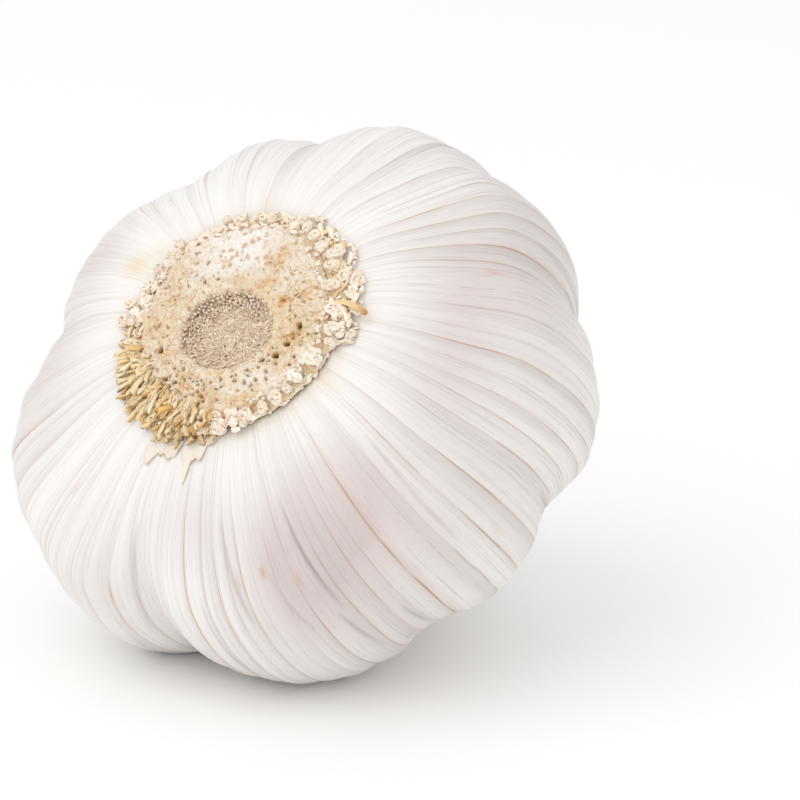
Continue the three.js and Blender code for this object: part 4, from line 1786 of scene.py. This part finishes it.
@dataclass
class RootStubs:
    """The cut roots that ring the plate, and the one long curled root that was missed."""

    lowest: float = 0.5
    highest: float = 2.0
    nub_height: float = 0.9
    nub_face: tuple[Pair, ...] = ((10.0, 1.75), (11.0, 1.5), (12.5, 1.1), (14.5, 0.85))
    sway_spread: float = 3.5
    sway_most: float = 6.0
    reach_varies: Pair = (-0.6, 0.25)
    long_root_degrees: float = 344.5
    long_root_foot: float = 11.0
    long_root_length: float = 3.5
    long_root_width: float = 0.6

    def zone_runs(self, zone: StubZone, draw: random.Random) -> list[Run]:
        """Lays the cut roots of one zone.

        Args:
            zone: the zone.
            draw: the seeded draws.

        Returns:
            One run for each root.
        """
        runs = []
        for index in range(zone.count):
            spread = (index + draw.uniform(-0.4, 0.4) + 0.5) / zone.count
            degrees = mix(*zone.degrees, spread)
            sway = max(-self.sway_most, min(self.sway_most, draw.gauss(0, self.sway_spread)))
            limit = float(stub_limit(np.array(degrees))) + draw.uniform(*self.reach_varies)
            foot_radius = draw.uniform(*zone.foot)
            length = draw.uniform(*zone.length)
            lift = draw.uniform(*zone.lift)
            slope = draw.uniform(*zone.slope)
            flat_length = length / math.sqrt(1 + slope * slope)
            tip_radius = min(foot_radius + flat_length, limit)
            tip_lift = min(max(lift + flat_length * slope, self.lowest), self.highest + 0.3)
            middle = (foot_radius + tip_radius) / 2
            is_strand = zone.kind is StubKind.STRAND
            bulge = draw.uniform(0.0, 0.35) if is_strand else 0.1
            foot = polar(foot_radius, degrees, lift)
            bend = polar(middle, degrees + sway * 0.3, min((lift + tip_lift) / 2 + bulge, self.highest + 0.4))
            tip = polar(tip_radius, degrees + sway, tip_lift)
            width = draw.uniform(*zone.width)
            depth = width * draw.uniform(*((0.5, 0.85) if is_strand else (0.75, 1.0)))
            tone = mix(*zone.tone, draw.random() ** 1.4)
            tip_burn = zone.burn_and_shade * draw.random() ** 3
            roll = draw.uniform(-0.8, 0.8)
            slant = draw.uniform(-0.3, 0.3)
            side = crosswise(degrees)
            runs.append(Run(foot, bend, tip, side, width, depth, tone, zone.burn_and_shade, tip_burn, roll, slant))
        return runs

    def nub_runs(self) -> list[Run]:
        """Stands the broken roots on the plate's edge, their flat ends towards the eye and a little aslant.

        Returns:
            One run for each root.
        """
        draw = random.Random(67)
        runs = []
        for degrees, reach, wide, long in NUBS:
            face = float(np.interp(reach, *zip(*self.nub_face)))
            foot = polar(reach, degrees, face - self.nub_height)
            lean = reach + draw.uniform(0.1, 0.35)
            turned = degrees + draw.uniform(-1, 1)
            bend = polar((reach + lean) / 2, degrees, face - self.nub_height / 2)
            tip = polar(lean, turned, face + draw.uniform(-0.1, 0.1))
            tone = draw.uniform(0.0, 0.4)
            # Painted shade at the foot, and a little brown at the tip.
            foot_shade_and_tip_burn = draw.uniform(0.35, 0.75), draw.uniform(0.0, 0.2)
            roll, slant = draw.uniform(-0.3, 0.3), draw.uniform(-0.2, 0.2)
            around = crosswise(degrees)
            runs.append(Run(foot, bend, tip, around, wide, long, tone, *foot_shade_and_tip_burn, roll, slant))
        return runs

    def long_root_run(self) -> Run:
        """Bends the long root out over the skin and down again."""
        start, far = self.long_root_foot, self.long_root_foot + self.long_root_length
        degrees = self.long_root_degrees
        foot = polar(start, degrees - 3, 1.2)
        bend = polar((start + far) / 2 + 0.3, degrees - 1, 2.1)
        tip = polar(far, degrees + 3, 1.0)
        width, around = self.long_root_width, crosswise(degrees)
        return Run(foot, bend, tip, around, width, width * 0.75, tone=0.1, tip_burn=0.9)

    def build(self) -> list[Piece]:
        """Makes all cut roots, one piece for each kind, and the long root.

        Returns:
            The pieces.
        """
        strand = tube_template(6, ((0, 0.8), (0.3, 1.1), (0.6, 0.85), (0.88, 1.05), (1, 0.88)), hollow=0.1)
        ring = tube_template(10, ((0, 0.8), (0.35, 0.95), (0.8, 1.04), (0.95, 0.98), (1, 0.84)), hollow=0.22)
        # Each kind's shape and finish, how uneven its copies are and how much painted shade darkens their
        # flanks.
        kinds = {
            StubKind.STRAND: (strand, ROOT_FIBRE, 0.2, 1.4),
            StubKind.RING: (ring, PALE_ROOT, 0.08, 0.2),
            StubKind.GRAIN: (grain_template(8, 6), PALE_ROOT, 0.13, 0.3),
        }
        pieces = []
        for number, (kind, (template, finish, uneven, flank)) in enumerate(kinds.items()):
            draw = random.Random(71 + number)
            zones = [StubZone(kind, *zone) for zone in STUB_ZONES[kind]]
            runs = [run for zone in zones for run in self.zone_runs(zone, draw)]
            piece = laid_copies(f"root_stubs_{kind.value}", template, runs, uneven, 81 + number, flank)
            pieces.append(dressed(piece, finish))
        disc = tube_template(16, ((0, 0.7), (0.4, 0.9), (0.8, 1.05), (0.94, 1.02), (1, 0.9)), 0.1, 0.12, 0.08)
        nubs = laid_copies("root_nubs", disc, self.nub_runs(), 0.065, 91)
        swelling = [(share / 12, 0.8 + 0.35 * share / 12) for share in range(12)]
        long_tube = tube_template(10, (*swelling, (0.97, 0.95), (1.0, 0.5)))
        long_root = laid_copies("long_curled_root", long_tube, [self.long_root_run()], 0.02, 97)
        return [*pieces, dressed(nubs, PALE_ROOT), dressed(long_root, CURLED_ROOT)]


@dataclass(frozen=True)
class Flake:
    """One torn end of an outer skin that lies out from under the roots.

    Its torn edge runs through the given places, each a direction and a reach from the middle.
    """

    edge: tuple[Pair, ...]
    lift: float
    seed: int


FLAKES = (
    Flake(
        ((93, 13.6), (94.5, 14.9), (97, 15.2), (99, 14.9), (102, 15.1), (104.5, 16.4), (107, 15.9), (109, 14)),
        lift=0.1,
        seed=1,
    ),
    Flake(
        ((74, 11.9), (78, 12.9), (81.5, 13.3), (83, 14.6), (87, 14.8), (88.5, 17.2), (90, 15.2), (92, 14)),
        lift=0.14,
        seed=2,
    ),
    Flake(((352, 12.4), (354, 13.6), (359, 13.2), (362, 12.0)), lift=0.2, seed=5),
    Flake(((196, 11.4), (200, 12.4), (205, 12.1), (209, 12.6), (213, 11.4)), lift=0.12, seed=6),
)


@dataclass
class TornSkin:
    """The torn ends of outer skins round the plate, and the matted root ends under the cut roots, whose brown
    is partly painted shade.
    """

    mat_inner: float = 10.2
    mat_least: float = 11.25
    mat_short: float = 1.5
    mat_columns: int = 300
    mat_rows: int = 6
    mat_clear: float = 0.12
    mat_ragged: float = 0.22
    mat_waves: tuple[int, ...] = (3, 7, 11, 19, 29, 43, 61)
    brown_shade_degrees: float = 120.0
    brown_shade_spread: float = 0.75
    flake_inner: float = 10.9
    flake_columns: int = 60
    flake_rows: int = 24
    thickness: float = 0.08
    flakes: tuple[Flake, ...] = FLAKES

    def skin_outward(self, radius: Array) -> Array:
        """Gives how far the papery skin itself stands out at each radius near the plate."""
        outline = FORM.outline(80, 4, 4)[:80]
        return np.interp(radius, outline[:, 0], -outline[:, 1])

    def mat_shape(self, turn: Array, row: Array) -> tuple[Points, Attributes]:
        """Gives the mat's vertices: out over its top, round its ragged edge and back beneath.

        Args:
            turn: how far round each vertex lies, 0 to 1.
            row: its row along the mat's section.

        Returns:
            Places in metres, and the attributes that the finish reads.
        """
        angle = turn * FULL_TURN
        rows = self.mat_rows
        out = np.interp(row, (0, rows, rows + 1, 2 * rows + 1), (0, 1, 1, 0))
        above = row <= rows
        ragged = sum(np.sin(waves * angle + waves**2) / math.sqrt(waves) for waves in self.mat_waves)
        outer = stub_limit(np.degrees(angle)) - self.mat_short + self.mat_ragged * ragged
        radius = mix(self.mat_inner, np.maximum(outer, self.mat_least), out)
        # Brown towards the low left side: partly the roots' own brown, partly painted shade in the gaps
        # between the cut roots.
        brown_and_shade = 0.2 + 0.8 * hill(turned_from(angle, self.brown_shade_degrees) / self.brown_shade_spread)
        # It sinks towards its edge, and lies higher where it is pale and thin.
        lie = 0.45 + 0.1 * np.sin(9 * angle + 2 * out) + 0.07 * np.sin(26 * angle + 1) - 0.3 * out
        lie += 0.3 * (1 - brown_and_shade) * (1 - 0.5 * out)
        outward = np.maximum(lie, self.skin_outward(radius) + self.mat_clear) + above * self.thickness
        attributes = {
            "fibre": round_places(12 + 0 * angle, angle, radius) * MM,
            "tone": brown_and_shade * (1 - 0.5 * out),
            "burn_and_shade": brown_and_shade * (1 - 0.5 * out**2),
        }
        return LIE.set_down(round_places(radius, angle, -outward)), attributes

    def flake(self, flake: Flake) -> Piece:
        """Makes one flake: a thin sheet, close to the skin, whose far edge is torn.

        Args:
            flake: where it lies.

        Returns:
            The flake's piece.
        """
        deselect_all()
        counts = {"x_subdivisions": self.flake_columns, "y_subdivisions": self.flake_rows}
        bpy.ops.mesh.primitive_grid_add(**counts, size=1)
        piece = bpy.context.active_object
        piece.name = piece.data.name = f"torn_skin_{flake.seed}"
        flat = vertex_places(piece)
        across, out = flat[:, 0] + 0.5, flat[:, 1] + 0.5
        draw = random.Random(flake.seed)
        phases = [draw.uniform(0, FULL_TURN) for _ in range(6)]
        turns, reaches = zip(*flake.edge)
        degrees = mix(turns[0], turns[-1], across)
        frayed = sum(np.sin((9 + 13 * k) * across * math.pi + phases[k]) / (k + 1) for k in range(3))
        far = np.interp(degrees, turns, reaches) + 0.12 * frayed
        radius = mix(self.flake_inner, far, out)
        lean = 0.6 * np.sin(3 * out + phases[2]) + 0.3 * np.sin(7 * out + phases[3])
        angle = np.radians(degrees + lean * out)
        curl = 0.12 * out**4 * (1 + np.sin(5 * across * math.pi + phases[5]))
        wrinkle = 0.04 * np.sin(7 * across * math.pi + phases[4]) * out
        outward = self.skin_outward(radius) + flake.lift + curl + wrinkle
        move_vertices(piece, LIE.set_down(round_places(radius, angle, -outward)))
        # The torn far edge is darkened, most on one side of the flake: painted shadow along the lifted edge.
        shaded_side = smoothstep(1.4 - 1.2 * across)
        torn = 0.75 * smoothstep((far - radius) / -0.35 + 1) * shaded_side * (0.55 + 0.45 * frayed)
        fibre = np.stack([across * 6, out * 0 + flake.seed, radius], axis=1) * MM
        give_attributes(piece, {"fibre": fibre, "tone": 0.2 + 0.4 * out**4, "burn_and_shade": np.clip(torn, 0, 1)})
        solid = piece.modifiers.new("thickness", "SOLIDIFY")
        solid.thickness = self.thickness * MM
        solid.offset = 0.0
        make_active(piece)
        bpy.ops.object.modifier_apply(modifier=solid.name)
        close_and_smooth(piece)
        return piece

    def build(self) -> list[Piece]:
        """Makes the mat and the flakes.

        Returns:
            The pieces.
        """
        mat = wrapped_sheet("matted_roots", self.mat_columns, 2 * self.mat_rows + 1, self.mat_shape)
        mat = dressed(mat, ROOT_FIBRE)
        return [mat, *(dressed(self.flake(flake), TORN_TUNIC) for flake in self.flakes)]


# --------------------------------------------------------------------------------------- the dried stalk


@dataclass
class DriedStalk:
    """The cut flower stalk in the middle of the neck: a fibrous wall round a sunken pith."""

    columns: int = 160
    rows: int = 30
    wall: float = 0.35
    radius: float = 2.9
    foot: float = 49.7
    top: float = 53.4
    pith_radius: float = 1.3
    pith_depth: float = 0.7
    torn: float = 0.28

    def shape(self, turn: Array, row: Array) -> tuple[Points, Attributes]:
        """Gives the stalk's vertices, up its side, over its torn top and down into the pith.

        Args:
            turn: how far round each vertex lies, 0 to 1.
            row: its row from the middle of the foot to the middle of the pith.

        Returns:
            Places in metres, and the attributes that the finish reads.
        """
        angle = turn * FULL_TURN
        stops = (0, 1, 9, 11, 17, 21, self.rows)
        side, lip, pith = self.radius, self.radius - self.wall, self.top - self.pith_depth
        radii = (0, side, side, lip, self.pith_radius + 0.25, self.pith_radius, 0)
        heights = (self.foot, self.foot, self.top - self.wall, self.top, self.top - 0.1, pith, pith - 0.15)
        ridges = 0.07 * np.cos(17 * angle) + 0.05 * np.cos(29 * angle + 1) + 0.03 * np.cos(53 * angle + 2)
        on_side = smoothstep(row - 0.5) * smoothstep((18 - row) / 3)
        radius = np.interp(row, stops, radii) + on_side * (ridges - 0.1)
        flat = round_places(radius, angle, np.interp(row, stops, heights))
        broken = soft_noise(flat * np.array([1, 1, 0.2]) + 5, 0.8, 3)
        grown = flat.copy()
        grown[:, 2] += smoothstep((row - 8) / 3) * (self.torn * broken + 0.12 * np.sin(5 * angle))
        inside = smoothstep((row - 18) / 5)
        attributes = {
            "fibre": grown * MM,
            "tone": np.clip(0.35 + 0.5 * broken + 0.2 * inside, 0, 1),
            "burn_and_shade": np.clip(0.75 * inside + 0.25 * smoothstep((row - 9) / 3), 0, 1),
        }
        return LIE.set_down(grown), attributes

    def build(self) -> Piece:
        """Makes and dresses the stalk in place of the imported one.

        Returns:
            The stalk's piece.
        """
        stalk = wrapped_sheet("dried_stalk", self.columns, self.rows, self.shape)
        dressed(stalk, STALK_FIBRE)
        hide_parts("flower_stalk")
        return stalk


# --------------------------------------------------------------------------------------------- the studio


@dataclass(frozen=True)
class SoftBox:
    """A square soft light: its name, its place and its width in metres, and its power in watts."""

    name: str
    place: Triple
    size: float
    watts: float


@dataclass
class Studio:
    """A plain pale floor, plain soft light and the camera."""

    floor_size: float = 6.0
    floor_colour: str = "#FDFDFC"
    sky_colour: str = "#FFFFFF"
    sky_strength: float = 0.9
    lamps: tuple[SoftBox, ...] = (
        SoftBox("key", (-0.2, -0.55, 0.8), 0.8, 2.0),
        SoftBox("fill", (0.2, -0.6, 0.04), 0.8, 1.0),
    )
    lens_mm: float = 150.0
    sensor_mm: float = 36.0
    distance: float = 0.345
    azimuth: float = 31.7
    elevation: float = 18.0
    aim_mm: Triple = (6.5, 4.2, 26.1)

    def floor(self) -> Piece:
        """Lays the floor.

        Returns:
            The floor's piece.
        """
        deselect_all()
        bpy.ops.mesh.primitive_plane_add(size=self.floor_size, location=(0, 0, 0))
        floor = bpy.context.active_object
        floor.name = "floor"
        material = empty_material("paper_backdrop_matte")
        tree = material.node_tree
        look = {"Base Color": linear(self.floor_colour), "Roughness": 0.9, "Specular IOR Level": 0.1}
        add_node(tree, "OutputMaterial", {"Surface": add_node(tree, "BsdfPrincipled", look)})
        floor.data.materials.append(material)
        return floor

    def sky(self) -> None:
        """Lights the whole room evenly."""
        world = bpy.data.worlds.new("soft_room")
        world.use_nodes = True
        background = world.node_tree.nodes["Background"]
        background.inputs["Color"].default_value = linear(self.sky_colour)
        background.inputs["Strength"].default_value = self.sky_strength
        bpy.context.scene.world = world
        bpy.context.scene.view_settings.view_transform = "Standard"

    def lamp(self, box: SoftBox) -> None:
        """Hangs one soft box that faces the bulb."""
        light = bpy.data.lights.new(box.name, "AREA")
        light.shape = "SQUARE"
        light.size = box.size
        light.energy = box.watts
        lamp = bpy.data.objects.new(box.name, light)
        lamp.location = box.place
        away = Vector(box.place) - Vector(self.aim_mm) * MM
        lamp.rotation_euler = away.to_track_quat("Z", "Y").to_euler()
        bpy.context.scene.collection.objects.link(lamp)

    def camera(self) -> None:
        """Sets the camera on the bulb."""
        data = bpy.data.cameras.new("camera")
        data.lens = self.lens_mm
        data.sensor_width = self.sensor_mm
        data.clip_start = 0.01
        camera = bpy.data.objects.new("camera", data)
        azimuth, elevation = math.radians(self.azimuth), math.radians(self.elevation)
        level = math.cos(elevation)
        back = Vector((math.sin(azimuth) * level, -math.cos(azimuth) * level, math.sin(elevation)))
        camera.location = Vector(self.aim_mm) * MM + back * self.distance
        camera.rotation_euler = back.to_track_quat("Z", "Y").to_euler()
        bpy.context.scene.collection.objects.link(camera)
        bpy.context.scene.camera = camera

    def build(self) -> None:
        """Sets up the floor, the light and the camera."""
        self.floor()
        self.sky()
        for box in self.lamps:
            self.lamp(box)
        self.camera()


def main() -> None:
    """Builds the bulb's pieces in order and reports each of them."""
    logging.basicConfig(level=logging.INFO, format="%(message)s")
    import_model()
    pieces: list[Piece] = [PaperyBody().build(), RootPlate().build()]
    pieces += StemScar().build()
    pieces += RootStubs().build()
    pieces += TornSkin().build()
    pieces.append(DriedStalk().build())
    for piece in pieces:
        log.info("%s: %d vertices, %d faces", piece.name, len(piece.data.vertices), len(piece.data.polygons))
    Studio().build()
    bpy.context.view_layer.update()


if __name__ == "__main__":
    main()
